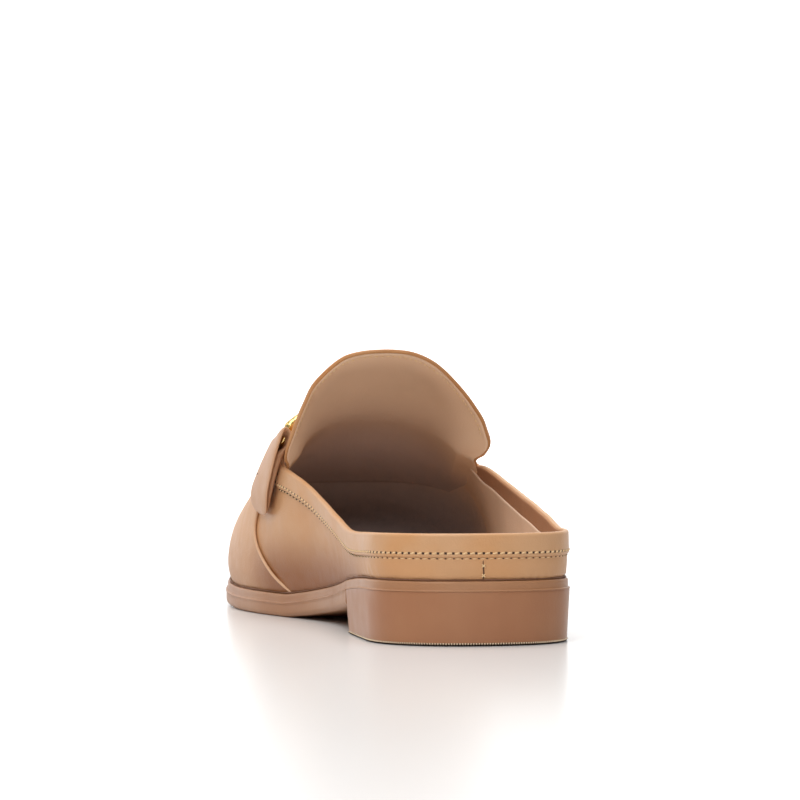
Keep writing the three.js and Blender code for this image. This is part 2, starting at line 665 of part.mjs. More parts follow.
function makeBit() {
  const innerRing = tube(ringPath(true), () => WIRE / 2, true);
  const outerRing = tube(ringPath(false), () => WIRE / 2, true);
  const ends = [true, false].map((inner) => {
    const { low, up } = ringFrame(inner);
    return low.clone().addScaledVector(up, RING_HEIGHT - WIRE);
  });
  const middleY = (ends[0].y + ends[1].y) / 2;
  const crown = skinPoint(walkOf(middleY, true), 1, -VAMP_STEP - BAR);
  const steps = 14;
  const path = Array.from({ length: steps + 1 }, (_, k) => {
    const share = k / steps;
    const arch = 4 * share * (1 - share);
    const straight = ends[0].clone().lerp(ends[1], share);
    const lift = crown.clone().sub(ends[0].clone().lerp(ends[1], 0.5));
    return straight.addScaledVector(lift, arch ** 0.75);
  });
  const size = (k) => (BAR / 2) * mix(1, 0.72, Math.sin((Math.PI * k) / steps) ** 2);
  return innerRing.add(outerRing).add(tube(path, size, false));
}

function mesh(name, solid, material) {
  const { vertProperties, triVerts, numProp } = solid.getMesh();
  const places = [];
  for (const v of triVerts) {
    places.push(...vertProperties.subarray(v * numProp, v * numProp + 3));
  }
  const geometry = new THREE.BufferGeometry();
  geometry.setAttribute("position", new THREE.Float32BufferAttribute(places, 3));
  geometry.computeVertexNormals();
  const piece = new THREE.Mesh(geometry, material);
  piece.name = name;
  return piece;
}

const leather = new THREE.MeshStandardMaterial({ color: 0xc4966c, roughness: 0.5 });
const trimLeather = new THREE.MeshStandardMaterial({ color: 0xbf8f68, roughness: 0.5 });
const soleRubber = new THREE.MeshStandardMaterial({ color: 0xa87a5c, roughness: 0.4 });
const sock = new THREE.MeshStandardMaterial({ color: 0xb9977c, roughness: 0.7 });
const gold = new THREE.MeshStandardMaterial({ color: 0xe2c078, roughness: 0.2, metalness: 1 });

const shoe = new THREE.Group();
shoe.add(
  mesh("outsole", makeOutsole(), soleRubber),
  mesh("heel", makeHeel(), soleRubber),
  mesh("insole", makeInsole(), sock),
  mesh("upper", makeUpper(), leather),
  mesh("tongue", makeTongue(), leather),
  mesh("strap_tab_inner", makeTab(true), trimLeather),
  mesh("strap_tab_outer", makeTab(false), trimLeather),
  mesh("bit", makeBit(), gold),
);

// The origin goes to the floor, under the middle of the sole's outline
const reach = columns.map((u) => planPoint(u).x);
shoe.position.set(-(Math.min(...reach) + Math.max(...reach)) / 2, -SOLE_LENGTH / 2, 0);
const part = new THREE.Group();
part.add(shoe);
export default part;
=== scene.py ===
# %% [markdown]
# # A woman's backless bit loafer, dressed
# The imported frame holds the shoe's solids at their real size, with large facets. Each
# piece of leather, lining, thread and metal is made again here as a fine surface from the
# same few sizes, stands for its solid, and gets its finish. Y runs from heel to toe,
# Z is up, and -X is the inner side of the foot, because this is the right shoe.

import bpy
import numpy as np
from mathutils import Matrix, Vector


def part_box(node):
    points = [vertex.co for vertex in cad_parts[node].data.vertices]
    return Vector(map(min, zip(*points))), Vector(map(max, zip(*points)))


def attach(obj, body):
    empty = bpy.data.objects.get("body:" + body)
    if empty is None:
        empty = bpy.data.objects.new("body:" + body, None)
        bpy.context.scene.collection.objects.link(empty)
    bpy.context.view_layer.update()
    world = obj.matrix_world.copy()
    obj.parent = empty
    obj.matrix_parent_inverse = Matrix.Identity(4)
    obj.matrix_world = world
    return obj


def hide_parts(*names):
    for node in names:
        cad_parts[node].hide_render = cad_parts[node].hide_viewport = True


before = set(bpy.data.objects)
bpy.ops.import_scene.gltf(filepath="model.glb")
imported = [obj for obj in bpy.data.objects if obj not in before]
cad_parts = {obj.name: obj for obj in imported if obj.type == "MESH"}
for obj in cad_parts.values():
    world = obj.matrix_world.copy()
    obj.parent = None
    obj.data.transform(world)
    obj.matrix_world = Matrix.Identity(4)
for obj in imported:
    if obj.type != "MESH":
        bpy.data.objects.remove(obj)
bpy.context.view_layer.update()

print("frame nodes:", sorted(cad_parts))

# %% [markdown]
# ## Driving sizes
# A shoemaker starts from the last: its length, the width at ball and heel, the heights of
# toe, instep and collar. The same sizes, in millimetres, drive every surface below. The
# sole's length comes from the frame, so that the dressed shoe fits its solids.

# %% Sizes of the last and the sole
MM = 0.001
sole_low, sole_high = (np.array(corner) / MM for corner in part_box("outsole"))
SOLE_LENGTH = sole_high[1] - sole_low[1]
BALL_WIDTH = 87
HEEL_WIDTH = 63
TOE_SWING = 10
HEEL_HEIGHT = sole_high[2]
FOREPART_THICKNESS = 7.4
WAIST_THICKNESS = 8.2
TOE_SPRING = 7
HEEL_LENGTH = 65
HEEL_TAPER = 0.9
BREAST_SLANT = 2
RIM_HEIGHT = 3
EDGE_ROUND = 1.6
WALL = 2
UPPER_SETBACK = 1.4
INSTEP_RISE = 64.3
TOE_RISE = 28.3
BACK_RISE = 14.4
NOTCH_RISE = 41.5
BAND_HEIGHT = 7.1
BAND_STEP = 0.9
VAMP_STEP = 0.8
INNER_BULGE = 14
GAP = 0.3

PLAN = {
    "at": (0, 0.12, 0.25, 0.35, 0.44, 0.53, 0.61, 0.69, 0.77, 0.86, 0.94, 1),
    "half": (0, 0, -0.02, -0.06, 0.02, 0.335, 0.712, 0.977, 1, 0.8, 0.56, 0.34),
    "swing": (0, 0, 0, -0.1, -0.11, 0.08, 0.31, 0.44, 0.56, 0.7, 0.86, 1),
}
HEEL_CAP, HEEL_SQUARE = 0.49 * HEEL_WIDTH, 2.35
TOE_CAP, TOE_SQUARE = 0.67 * BALL_WIDTH, 2.2
CAP_WALK = 0.17
PROFILE = {
    "at": (0, 0.12, 0.25, 0.35, 0.45, 0.52, 0.57, 0.71, 0.78, 0.86, 0.94, 1),
    "lift": (1, 0.955, 0.77, 0.545, 0.29, 0.1, 0, 0, 0, 0, 0, 0),
    "spring": (0, 0, 0, 0, 0, 0, 0, 0, 0.07, 0.29, 0.65, 1),
    "waist": (1, 1, 1, 0.9, 0.5, 0.15, 0, 0, 0, 0, 0, 0),
}
RIDGE = {
    "at": (0.12, 0.235, 0.35, 0.42, 0.45, 0.49, 0.535, 0.586, 0.645, 0.703, 0.762, 0.8, 0.84),
    "lean": (0, 0.06, 0.2, 0.245, 0.245, 0.235, 0.225, 0.22, 0.215, 0.22, 0.225, 0.23, 0.235),
    "rise": (1.048, 1.3, 1.38, 1.367, 1.297, 1.187, 1, 0.834, 0.62, 0.41, 0.235, 0.125, 0),
}
FULLNESS = {
    "at": (0, 0.25, 0.39, 0.45, 0.535, 0.61, 0.7, 0.8, 1),
    "inner_side": (0.6, 0.7, 0.85, 0.85, 0.85, 0.84, 0.82, 0.74, 0.66),
    "inner_top": (0.6, 0.7, 0.85, 0.85, 0.85, 0.85, 0.85, 0.8, 0.74),
    "inner_bulge": (0.2, 0.45, 0.93, 1, 0.9, 0.3, 0.03, 0.08, 0.18),
    "outer_side": (0.6, 0.68, 0.7, 0.62, 0.6, 0.6, 0.64, 0.68, 0.66),
    "outer_top": (0.6, 0.68, 0.7, 0.68, 0.63, 0.63, 0.66, 0.7, 0.72),
    "outer_bulge": (0.2, 0.15, 0.1, 0.05, 0.05, 0.1, 0.2, 0.2, 0.18),
}
COLLAR = {
    "at": (-0.2, 0, 0.12, 0.215, 0.273, 0.3, 0.343, 0.39, 0.42, 0.45, 0.49, 0.53, 0.56),
    "rise": (0, 0, 0.006, 0.121, 0.235, 0.297, 0.395, 0.522, 0.614, 0.7175, 0.8575, 0.975, 1.02),
    "tilt": (0, 0, 0.012, 0.081, 0.09, 0.085, 0.077, 0.06, 0.0469, 0.0284, 0.015, 0.01, 0),
}
NOTCH_AT = 0.545
THROAT_AT = 0.586
VAMP_EDGE = {
    "at": (0.549, 0.553, 0.58, 0.606, 0.633, 0.649, 0.646, 0.624, 0.6, 0.583, 0.575),
    "z": (-0.4, 0.02, 0.12, 0.22, 0.34, 0.48, 0.6, 0.78, 1, 1.3, 3),
}
print(f"sole {SOLE_LENGTH:.1f} mm long, {HEEL_HEIGHT:.1f} mm high at the back")

# %% [markdown]
# ## Curves through the tables
# Two kinds of curve join a table's rows. A natural spline has no jump in curvature, as a
# pattern cutter's French curve. The other never overshoots its rows, so that the level
# stretch under the ball stays level. Both take whole arrays of positions.

# %% The two curves


def hermite(x, y, slope):
    """Cubic pieces with the given slopes: y0 v^2(1+2u) + y1 u^2(1+2v) + h(s0 u v^2 - s1 u^2 v)."""
    x, y, slope = (np.array(values, float) for values in (x, y, slope))

    def value(at):
        """The cubic of the stretch that holds each position."""
        p = np.clip(at, x[0], x[-1])
        k = np.clip(np.searchsorted(x, p) - 1, 0, len(x) - 2)
        h = x[k + 1] - x[k]
        u = (p - x[k]) / h
        v = 1 - u
        ends = y[k] * v * v * (1 + 2 * u) + y[k + 1] * u * u * (1 + 2 * v)
        return ends + h * (slope[k] * u * v * v - slope[k + 1] * u * u * v)

    return value


def smooth(table, column, along="at"):
    """The natural spline: its slopes solve b s0 + 2(b+a) s1 + a s2 = 3(b^2 dy0 + a^2 dy1)."""
    x, y = np.array(table[along], float), np.array(table[column], float)
    inverse = 1 / np.diff(x)
    before, after = np.append(0, inverse), np.append(inverse, 0)
    matrix = np.diag(2 * (before + after)) + np.diag(inverse, 1) + np.diag(inverse, -1)
    rate = np.diff(y) * inverse**2
    return hermite(x, y, np.linalg.solve(matrix, 3 * (np.append(0, rate) + np.append(rate, 0))))


def level(table, column, along="at"):
    """Slopes are the harmonic mean of both sides' rates, or zero where the rate changes sign."""
    x, y = np.array(table[along], float), np.array(table[column], float)
    rate = np.diff(y) / np.diff(x)
    before, after = rate[:-1], rate[1:]
    same = before * after > 0
    mean = np.where(same, 2 * before * after / np.where(same, before + after, 1), 0)
    return hermite(x, y, np.concatenate(([rate[0]], mean, [rate[-1]])))


plan_half, plan_swing = smooth(PLAN, "half"), smooth(PLAN, "swing")
heel_lift, toe_spring, waist = (level(PROFILE, name) for name in ("lift", "spring", "waist"))
ridge_lean, ridge_rise = smooth(RIDGE, "lean"), smooth(RIDGE, "rise")
collar_rise, collar_tilt = level(COLLAR, "rise"), level(COLLAR, "tilt")
fullness = {name: smooth(FULLNESS, name) for name in FULLNESS if name != "at"}
vamp_edge = smooth(VAMP_EDGE, "at", "z")
print(f"at 45% of the length, {heel_lift(0.45):.2f} of the heel's lift is left")


def mix(a, b, share):
    """a + (b - a) share"""
    return a + (b - a) * share


def ease(value):
    """A step from 0 to 1 with level ends: 3 v^2 - 2 v^3."""
    v = np.clip(value, 0, 1)
    return v * v * (3 - 2 * v)


# %% [markdown]
# ## The sole's plan and side view
# The plan is walked by u, from 0 at the back of the heel along the outer side to 0.5 at
# the toe's tip, and along the inner side to 1. Its ends are superellipses, which are
# squarer than circles, as a heel is.

# %% Plan and profile


def sole_top(y):
    """Forepart thickness, and shares of the heel's lift and of the toe's spring."""
    at = y / SOLE_LENGTH
    lift = (HEEL_HEIGHT - FOREPART_THICKNESS) * heel_lift(at)
    return FOREPART_THICKNESS + lift + TOE_SPRING * toe_spring(at)


def sole_bottom(y):
    """The top less the thickness, which is a little more at the waist."""
    thicker = (WAIST_THICKNESS - FOREPART_THICKNESS) * waist(y / SOLE_LENGTH)
    return sole_top(y) - FOREPART_THICKNESS - thicker


def plan_point(u):
    """(x, y) of the sole's edge: half width times a round-off at both ends, less the swing."""
    walk = np.mod(u, 1)
    w = 2 * np.where(walk <= 0.5, walk, 1 - walk)
    heel_turn = np.clip(w / CAP_WALK, 0, 1) * np.pi / 2
    toe_turn = np.clip((1 - w) / CAP_WALK, 0, 1) * np.pi / 2
    middle = mix(HEEL_CAP, SOLE_LENGTH - TOE_CAP, (w - CAP_WALK) / (1 - 2 * CAP_WALK))
    heel_end = HEEL_CAP * (1 - np.abs(np.cos(heel_turn)) ** (2 / HEEL_SQUARE))
    toe_end = SOLE_LENGTH - TOE_CAP * (1 - np.abs(np.cos(toe_turn)) ** (2 / TOE_SQUARE))
    y = np.where(w < CAP_WALK, heel_end, np.where(w > 1 - CAP_WALK, toe_end, middle))
    at = y / SOLE_LENGTH
    half = HEEL_WIDTH / 2 + (BALL_WIDTH - HEEL_WIDTH) / 2 * plan_half(at)
    half = half * (1 - np.clip((HEEL_CAP - y) / HEEL_CAP, 0, 1) ** HEEL_SQUARE) ** (1 / HEEL_SQUARE)
    toe_share = np.clip((y - SOLE_LENGTH + TOE_CAP) / TOE_CAP, 0, 1)
    half = half * (1 - toe_share**TOE_SQUARE) ** (1 / TOE_SQUARE)
    return np.where(walk <= 0.5, 1, -1) * half - TOE_SWING * plan_swing(at), y


def rim_point(u, inset):
    """The plan's point moved inwards by inset, square to the edge."""
    step = 0.002
    x, y = plan_point(u)
    before, after = plan_point(u - step), plan_point(u + step)
    dx, dy = after[0] - before[0], after[1] - before[1]
    along = np.hypot(dx, dy)
    return x - inset * dy / along, y + inset * dx / along


def walk_of(y, inner):
    """The u of a station y, on the inner or the outer side, between the round ends."""
    w = mix(CAP_WALK, 1 - CAP_WALK, (y - HEEL_CAP) / (SOLE_LENGTH - TOE_CAP - HEEL_CAP))
    return np.where(inner, 1 - w / 2, w / 2)


def even_walk(start, end, step):
    """Values of u from start to end whose points lie about step millimetres apart."""
    fine = np.linspace(start, end, 4000)
    x, y = plan_point(fine)
    run = np.append(0, np.cumsum(np.hypot(np.diff(x), np.diff(y))))
    return np.interp(np.linspace(0, run[-1], int(run[-1] / step) + 1), run, fine)


def run_of(u):
    """Length along the plan from the middle of the back, in millimetres, for patterns."""
    fine = np.linspace(-1, 1, 8001)
    x, y = plan_point(fine)
    run = np.append(0, np.cumsum(np.hypot(np.diff(x), np.diff(y))))
    return np.interp(u, fine, run - run[4000])


edge_x = plan_point(np.linspace(0, 1, 2000))[0]
SHIFT = np.array([-(edge_x.min() + edge_x.max()) / 2, sole_low[1], 0])
print(f"heel line lies {SHIFT[0]:.2f} mm from the middle of the outline")

# %% [markdown]
# ## The last's skin
# A last is a solid foot shape that the leather is pulled over. Here every half section is
# an arc from the foot of the wall (t 0) to the ridge (t 1). The inset counts inwards from
# the upper's outer face, so the same function gives leather, lining and tongue.

# %% The skin function
TOE_ANCHOR = RIDGE["at"][-1] * SOLE_LENGTH


def ridge_height(y):
    """Height of the last's top line over a station."""
    return sole_top(y) + GAP + mix(TOE_RISE, INSTEP_RISE, ridge_rise(y / SOLE_LENGTH))


def skin(u, t, inset=0.0):
    """Points of the last: s^3 foot + 3 s^2 t side + 3 s t^2 crown + t^3 ridge, with s = 1 - t."""
    u, t, inset = np.broadcast_arrays(u, t, inset)
    walk = np.mod(u, 1)
    w = 2 * np.where(walk <= 0.5, walk, 1 - walk)
    from_end = np.clip(np.minimum(w, 1 - w) / CAP_WALK, 0, 1)
    turned = 0.5 * from_end**2 * (3 - 2 * from_end)
    inner = np.where(walk <= 0.5, 0.5 - turned, 0.5 + turned)
    foot_x, foot_y = rim_point(walk, UPPER_SETBACK + inset)
    station = np.clip(plan_point(walk)[1], HEEL_CAP, TOE_ANCHOR)
    at = station / SOLE_LENGTH
    form = {}
    for name in ("side", "top", "bulge"):
        form[name] = mix(fullness["outer_" + name](at), fullness["inner_" + name](at), inner)
    slope = ridge_height(station) - ridge_height(station - 1)
    ridge_x = -ridge_lean(at) * BALL_WIDTH / 2
    ridge_z = ridge_height(station) - inset * np.hypot(1, slope)
    foot_z = sole_top(foot_y) + GAP
    reach = np.hypot(foot_x - ridge_x, foot_y - station)
    wide = (reach + INNER_BULGE * form["bulge"]) / reach
    s = 1 - t
    a, b, c, d = s**3, 3 * s * s * t, 3 * s * t * t, t**3
    out = a + b * wide + c * form["top"]
    crown_z = ridge_z + slope * form["top"] * (foot_y - station)
    z = a * foot_z + b * mix(foot_z, ridge_z, form["side"]) + c * crown_z + d * ridge_z
    return np.stack([mix(ridge_x, foot_x, out), mix(station, foot_y, out), z], -1)


NOTCH_Y, THROAT_Y = NOTCH_AT * SOLE_LENGTH, THROAT_AT * SOLE_LENGTH
QUARTER_END, FOLD_END, FACING_END = THROAT_Y + 27, 163.0, 147.0  # how far to the front each runs


def collar_line(y, x):
    """Height of the collar's edge, which is tilted a little up to the outer side."""
    at = y / SOLE_LENGTH
    rise = mix(BACK_RISE, NOTCH_RISE, collar_rise(at))
    return sole_top(np.minimum(y, NOTCH_Y)) + rise + collar_tilt(at) * x


def top_line(y, x):
    """The collar's edge as far as the notch, and on under the tabs at a low slope."""
    return np.where(y < NOTCH_Y, collar_line(y, x), collar_line(NOTCH_Y, x) + 0.25 * (y - NOTCH_Y))


def flat_line(height):
    """A level line, for use with reach_t: the same height everywhere."""
    return lambda y, x: height + 0 * y


def reach_t(u, line, drop=0.0, inset=0.0, highest=1.0):
    """The t where the section at u crosses the line, less drop, found by halving."""
    u, drop, inset = np.broadcast_arrays(u, drop, inset)
    low, high = np.zeros(u.shape), np.full(u.shape, float(highest))
    for _ in range(24):
        middle = (low + high) / 2
        p = skin(u, middle, inset)
        above = p[..., 2] > line(p[..., 1], p[..., 0]) - drop
        low, high = np.where(above, low, middle), np.where(above, middle, high)
    return (low + high) / 2


# %% [markdown]
# ## From grids to pieces
# A piece is one or more grids of points. Points that fall together are merged, so that
# seams and poles close, empty triangles are dropped, and the whole is turned so that its
# faces point outwards. The UV map holds millimetres, for patterns that follow a seam.

# %% Mesh helpers


def unit(vectors):
    """Vectors divided by their length."""
    return vectors / np.maximum(np.linalg.norm(vectors, axis=-1, keepdims=True), 1e-9)


def run_along(path):
    """Length from a path's start to each of its points: 0, then the sum of its steps."""
    return np.append(0, np.cumsum(np.linalg.norm(np.diff(path, axis=0), axis=1)))


def grid_quads(rows, columns, offset=0, wrap=False):
    """The four corners of every cell of a grid of points stored row by row."""
    i, j = np.meshgrid(np.arange(rows - 1), np.arange(columns if wrap else columns - 1), indexing="ij")
    k = (j + 1) % columns
    quads = np.stack([i * columns + j, i * columns + k, (i + 1) * columns + k, (i + 1) * columns + j], -1)
    return quads.reshape(-1, 4) + offset


class Surface:
    """Grids of points gathered for one piece."""

    def __init__(self):
        """Starts with no grids."""
        self.points, self.quads, self.maps = [], [], []
        self.count = 0

    def add(self, grid, uv=None, wrap=False, flip=False):
        """Adds a grid of shape (rows, columns, 3), with a UV grid of (rows, columns, 2)."""
        rows, columns = grid.shape[:2]
        quads = grid_quads(rows, columns, self.count, wrap)
        self.quads.append(quads[:, ::-1] if flip else quads)
        self.points.append(grid.reshape(-1, 3))
        self.maps.append(np.zeros((rows * columns, 2)) if uv is None else uv.reshape(-1, 2))
        self.count += rows * columns
        return self

    def piece(self, name, finish, slot, stands_for=(), flat=False):
        """Makes the mesh object, in metres and in the row's frame, and lets it ride on root."""
        points, quads, uv = (np.concatenate(part) for part in (self.points, self.quads, self.maps))
        points = (points + SHIFT) * MM
        _, first, merged = np.unique(np.round(points / 2e-6), axis=0, return_index=True, return_inverse=True)
        corners = np.concatenate([quads[:, [0, 1, 2]], quads[:, [0, 2, 3]]])
        tris = merged.reshape(-1)[corners]
        full = (tris[:, 0] != tris[:, 1]) & (tris[:, 1] != tris[:, 2]) & (tris[:, 2] != tris[:, 0])
        tris, corners, points = tris[full], corners[full], points[first]
        a, b, c = (points[tris[:, k]] for k in range(3))
        if np.einsum("ij,ij->", a, np.cross(b, c)) < 0:
            tris, corners = tris[:, ::-1], corners[:, ::-1]
        mesh = bpy.data.meshes.new(name)
        mesh.from_pydata(points.tolist(), [], tris.tolist())
        mesh.uv_layers.new(name="seam").data.foreach_set("uv", uv[corners.reshape(-1)].reshape(-1))
        mesh.polygons.foreach_set("use_smooth", np.full(len(tris), not flat))
        mesh.materials.append(finish)
        obj = bpy.data.objects.new(name, mesh)
        bpy.context.scene.collection.objects.link(obj)
        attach(obj, "root")
        if stands_for:
            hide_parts(*stands_for)
        print(f"{name}: {len(tris)} triangles")
        return obj


def rounded(outer, inner, uv, edges):
    """Adds a round rim to the named edges of a sheet: half its thickness beyond the edge."""
    for edge in edges:
        axis, end = {"left": (1, 0), "right": (1, -1), "foot": (0, 0), "head": (0, -1)}[edge]
        near = [np.take(grid, [end], axis) for grid in (outer, inner)]
        next_in = np.take(outer, [1 if end == 0 else -2], axis)
        thick = np.linalg.norm(near[0] - near[1], axis=-1, keepdims=True)
        rim = (near[0] + near[1]) / 2 + unit(near[0] - next_in) * thick / 2
        parts = [(outer, rim), (inner, rim), (uv, np.take(uv, [end], axis))]
        if end == 0:
            parts = [(extra, grid) for grid, extra in parts]
        outer, inner, uv = (np.concatenate(pair, axis) for pair in parts)
    return outer, inner, uv


def sheet(outer, inner, uv, edges=(), wrap=False):
    """A surface with an outer and an inner face, joined by rims where edges are named."""
    outer, inner, uv = rounded(outer, inner, uv, edges)
    return Surface().add(outer, uv, wrap).add(inner, uv, wrap, flip=True)


def mirror_ridge(grid):
    """Makes the last row meet itself: its second half repeats the first half backwards."""
    columns = grid.shape[1]
    half = columns // 2
    grid[-1, columns - half :] = grid[-1, :half][::-1]
    return grid


# %% [markdown]
# ## Shader maths
# Patterns such as mottling or a row of holes are sums and products of a few fields. One
# small class wraps a node's output, so that they can be written as Python expressions.

# %% Fields and finishes


class Field:
    """A number that changes over a surface."""

    def __init__(self, finish, socket):
        """Keeps the finish and the output socket that carries the number."""
        self.finish, self.socket = finish, socket

    def math(self, operation, a, b=0.0):
        """One Math node."""
        return self.finish.node("ShaderNodeMath", {"operation": operation}, {0: a, 1: b})

    def __add__(self, other):
        """self + other"""
        return self.math("ADD", self, other)

    def __sub__(self, other):
        """self - other"""
        return self.math("SUBTRACT", self, other)

    def __rsub__(self, other):
        """other - self"""
        return self.math("SUBTRACT", other, self)

    def __mul__(self, other):
        """self * other, or self stretched by it"""
        return self.math("MULTIPLY", self, other)

    __radd__, __rmul__ = __add__, __mul__

    def wave(self, length):
        """Distance to the nearest multiple of length, as a share: 0 on it, 0.5 halfway."""
        return self.math("PINGPONG", self * (1 / length), 0.5)

    def step(self, start, end):
        """0 before start and 1 after end, with a soft change between."""
        settings = {"interpolation_type": "SMOOTHSTEP"}
        return self.finish.node("ShaderNodeMapRange", settings, {0: self, 1: start, 2: end, 3: 0.0, 4: 1.0})

    def near(self, centre, width):
        """1 at centre, falling to 0 at width from it."""
        away = self.math("ABSOLUTE", self - centre)
        return 1 - away.step(width * 0.4, width)


def linear(red, green, blue):
    """A colour read as 0 to 255 on a screen, turned into the linear values that Blender uses."""
    share = np.array([red, green, blue]) / 255
    light = np.where(share <= 0.04045, share / 12.92, ((share + 0.055) / 1.055) ** 2.4)
    return (*light.tolist(), 1.0)


# %% [markdown]
# ## A finish
# Every leather, rubber, thread and metal is one Principled shader. This class holds it and
# its base colour, adds any node in one call, and gives the textures their usual inputs.

# %% Finishes


class Finish:
    """A material with one Principled shader."""

    def __init__(self, name, colour, **sockets):
        """Makes the material, with a screen colour and values for sockets by name."""
        self.material = bpy.data.materials.new(name)
        self.material.use_nodes = True
        self.nodes, self.links = self.material.node_tree.nodes, self.material.node_tree.links
        self.shader = self.nodes["Principled BSDF"]
        self.base = linear(*colour)
        self.set("Base Color", self.base)
        for socket, value in sockets.items():
            self.set(socket.replace("_", " "), value)

    def set(self, socket, value):
        """Gives the shader's socket a value or links a field or colour to it."""
        self.put(self.shader.inputs[socket], value)

    def put(self, socket, value):
        """Gives any socket a value or a link."""
        if isinstance(value, Field):
            self.links.new(value.socket, socket)
        else:
            socket.default_value = value

    def node(self, kind, settings=None, values=None, output=0):
        """Any node: its settings, or a ramp's stops, first, then its sockets."""
        node = self.nodes.new(kind)
        for name, value in (settings or {}).items():
            if name == "stops":
                ramp = node.color_ramp
                for k, (place, colour) in enumerate(value):
                    stop = ramp.elements[k] if k < 2 else ramp.elements.new(place)
                    stop.position, stop.color = place, colour
            else:
                setattr(node, name, value)
        for name, value in (values or {}).items():
            self.put(node.inputs[name], value)
        return Field(self, node.outputs[output])

    def place(self):
        """Object coordinates, in metres."""
        return self.node("ShaderNodeTexCoord", output="Object")

    def seam(self):
        """The UV map's two numbers, in millimetres."""
        split = self.node("ShaderNodeSeparateXYZ", {}, {0: self.node("ShaderNodeUVMap", {"uv_map": "seam"})})
        return split, Field(self, split.socket.node.outputs[1])

    def object_axis(self, axis):
        """One of the three object coordinates, in metres."""
        split = self.node("ShaderNodeSeparateXYZ", {}, {0: self.place()})
        return Field(self, split.socket.node.outputs[axis])

    def toned(self, colour, share, mode="MIX"):
        """Blends the base colour as it stands towards another, by a field."""
        now = Field(self, self.shader.inputs["Base Color"].links[0].from_socket)
        self.set("Base Color", self.blend(share, now, colour, mode))

    def noise(self, size, detail=2.0, rough=0.5, stretch=None, shift=0.0):
        """Noise whose lumps are about size metres across, drawn out by stretch."""
        values = {"Location": (shift, shift, shift), "Scale": stretch or (1, 1, 1), 0: self.place()}
        place = self.node("ShaderNodeMapping", {}, values)
        values = {"Vector": place, "Scale": 1 / size, "Detail": detail, "Roughness": rough}
        return self.node("ShaderNodeTexNoise", {}, values)

    def grain(self, size, shift=0.0):
        """Leather's fine cells: distance to the nearest of scattered points size metres apart."""
        values = {"Location": (shift, shift, shift), 0: self.place()}
        place = self.node("ShaderNodeMapping", {}, values)
        return self.node("ShaderNodeTexVoronoi", {}, {"Vector": place, "Scale": 1 / size})

    def blend(self, share, first, second, mode="MIX"):
        """A colour between two, by a field."""
        values = {0: share, 6: first, 7: second}
        return self.node("ShaderNodeMix", {"data_type": "RGBA", "blend_type": mode}, values, output=2)

    def bump(self, height, depth, below=None):
        """Height, 0 to 1, stands depth metres high. Returns the bent normal."""
        values = {"Height": height, "Distance": depth, "Strength": 1.0}
        if below is not None:
            values["Normal"] = below
        return self.node("ShaderNodeBump", {}, values)


# %% [markdown]
# ## Leathers
# The upper is smooth calf with a soft sheen. Its tan isn't even: orange patches show where
# the dye took more, and fine pores break up the light. Low on the waist it is painted darker
# as painted shade, a second tone blended in by height and by length. The same recipe, with
# other colours and depths, makes the folded trims and the linings.

# %% Leather recipe


def leather(name, colour, warm, mottle=0.5, rough=0.45, pores=0.00006, coat=0.04):
    """Smooth leather: two sizes of colour patches, fine pores and uneven sheen."""
    finish = Finish(name, colour, Coat_Roughness=0.3, Specular_IOR_Level=0.3)
    patches = finish.noise(0.028, 3.0, 0.55).step(0.42, 0.68)
    flecks = finish.noise(0.011, 3.0, 0.5, shift=0.3).step(0.4, 0.8)
    tint = finish.blend(patches * mottle, finish.base, linear(*warm))
    dark = linear(*(0.86 * value for value in colour))
    finish.set("Base Color", finish.blend(flecks * 0.16, tint, dark))
    finish.set("Roughness", rough + 0.16 * (finish.noise(0.004, 2.0, shift=0.7) - 0.5))
    finish.set("Coat Weight", coat)
    height = 0.6 * finish.grain(0.0007) + 0.4 * finish.noise(0.0018, 2.0)
    finish.set("Normal", finish.bump(height, pores, finish.bump(finish.noise(0.016, 2.0, shift=0.5), 0.0005)))
    return finish


upper_leather = leather("upper_leather", (205, 156, 113), (203, 145, 93), 0.5)
along_shoe = upper_leather.object_axis(1)
# Painted shade: the upper is darkened low on the waist, where it turns under away from the light
waist_painted_shade = upper_leather.object_axis(2).step(0.031, 0.013) * along_shoe.step(-0.108, -0.07)
upper_leather.toned(linear(147, 92, 52), waist_painted_shade * (0.3 + 0.7 * along_shoe.step(0.05, 0.02)))
# Painted highlight: a paler leather for the raised side seam's bead, standing for the light along it
seam_highlight_leather = leather("seam_highlight_leather", (214, 173, 138), (204, 160, 120), 0.3, rough=0.6)
lining_leather = leather("lining_leather", (230, 198, 172), (220, 184, 156), 0.4, rough=0.72, coat=0.0)
tongue_skin = leather("tongue_skin", (208, 174, 145), (196, 158, 128), 0.4, rough=0.72, coat=0.0)
# Painted shade: the vamp's lining is greyer and darker deep in the shoe, and turns to the pale lining towards
# the rear
painted_shade_lining = leather("painted_shade_lining", (204, 190, 190), (194, 178, 178), 0.4, rough=0.8, coat=0.0)
painted_shade_lining.toned(lining_leather.base, painted_shade_lining.object_axis(1).step(0.07, 0.02))
sock_leather = leather("sock_leather", (196, 165, 136), (186, 150, 116), 0.4, rough=0.7, coat=0.0)
print("leathers:", [material.name for material in bpy.data.materials if "leather" in material.name])

# %% [markdown]
# ## Quarters
# The two quarters wrap the heel from notch to notch and are joined at the back. They are
# cut away to a low collar. Creases stand at the turn of the heel, where the leather was
# pulled over the last. The seam at the back is a thin dark thread, made further down.

# %% Quarters
STEP = 1.0  # millimetres between columns


def tuck(u, t, depth, height):
    """How far the leather turns in at its foot: depth (1 - rise / height)^2 near the sole."""
    p = skin(u, t)
    rise = p[..., 2] - sole_top(p[..., 1]) - GAP
    return depth * np.clip(1 - rise / height, 0, 1) ** 2


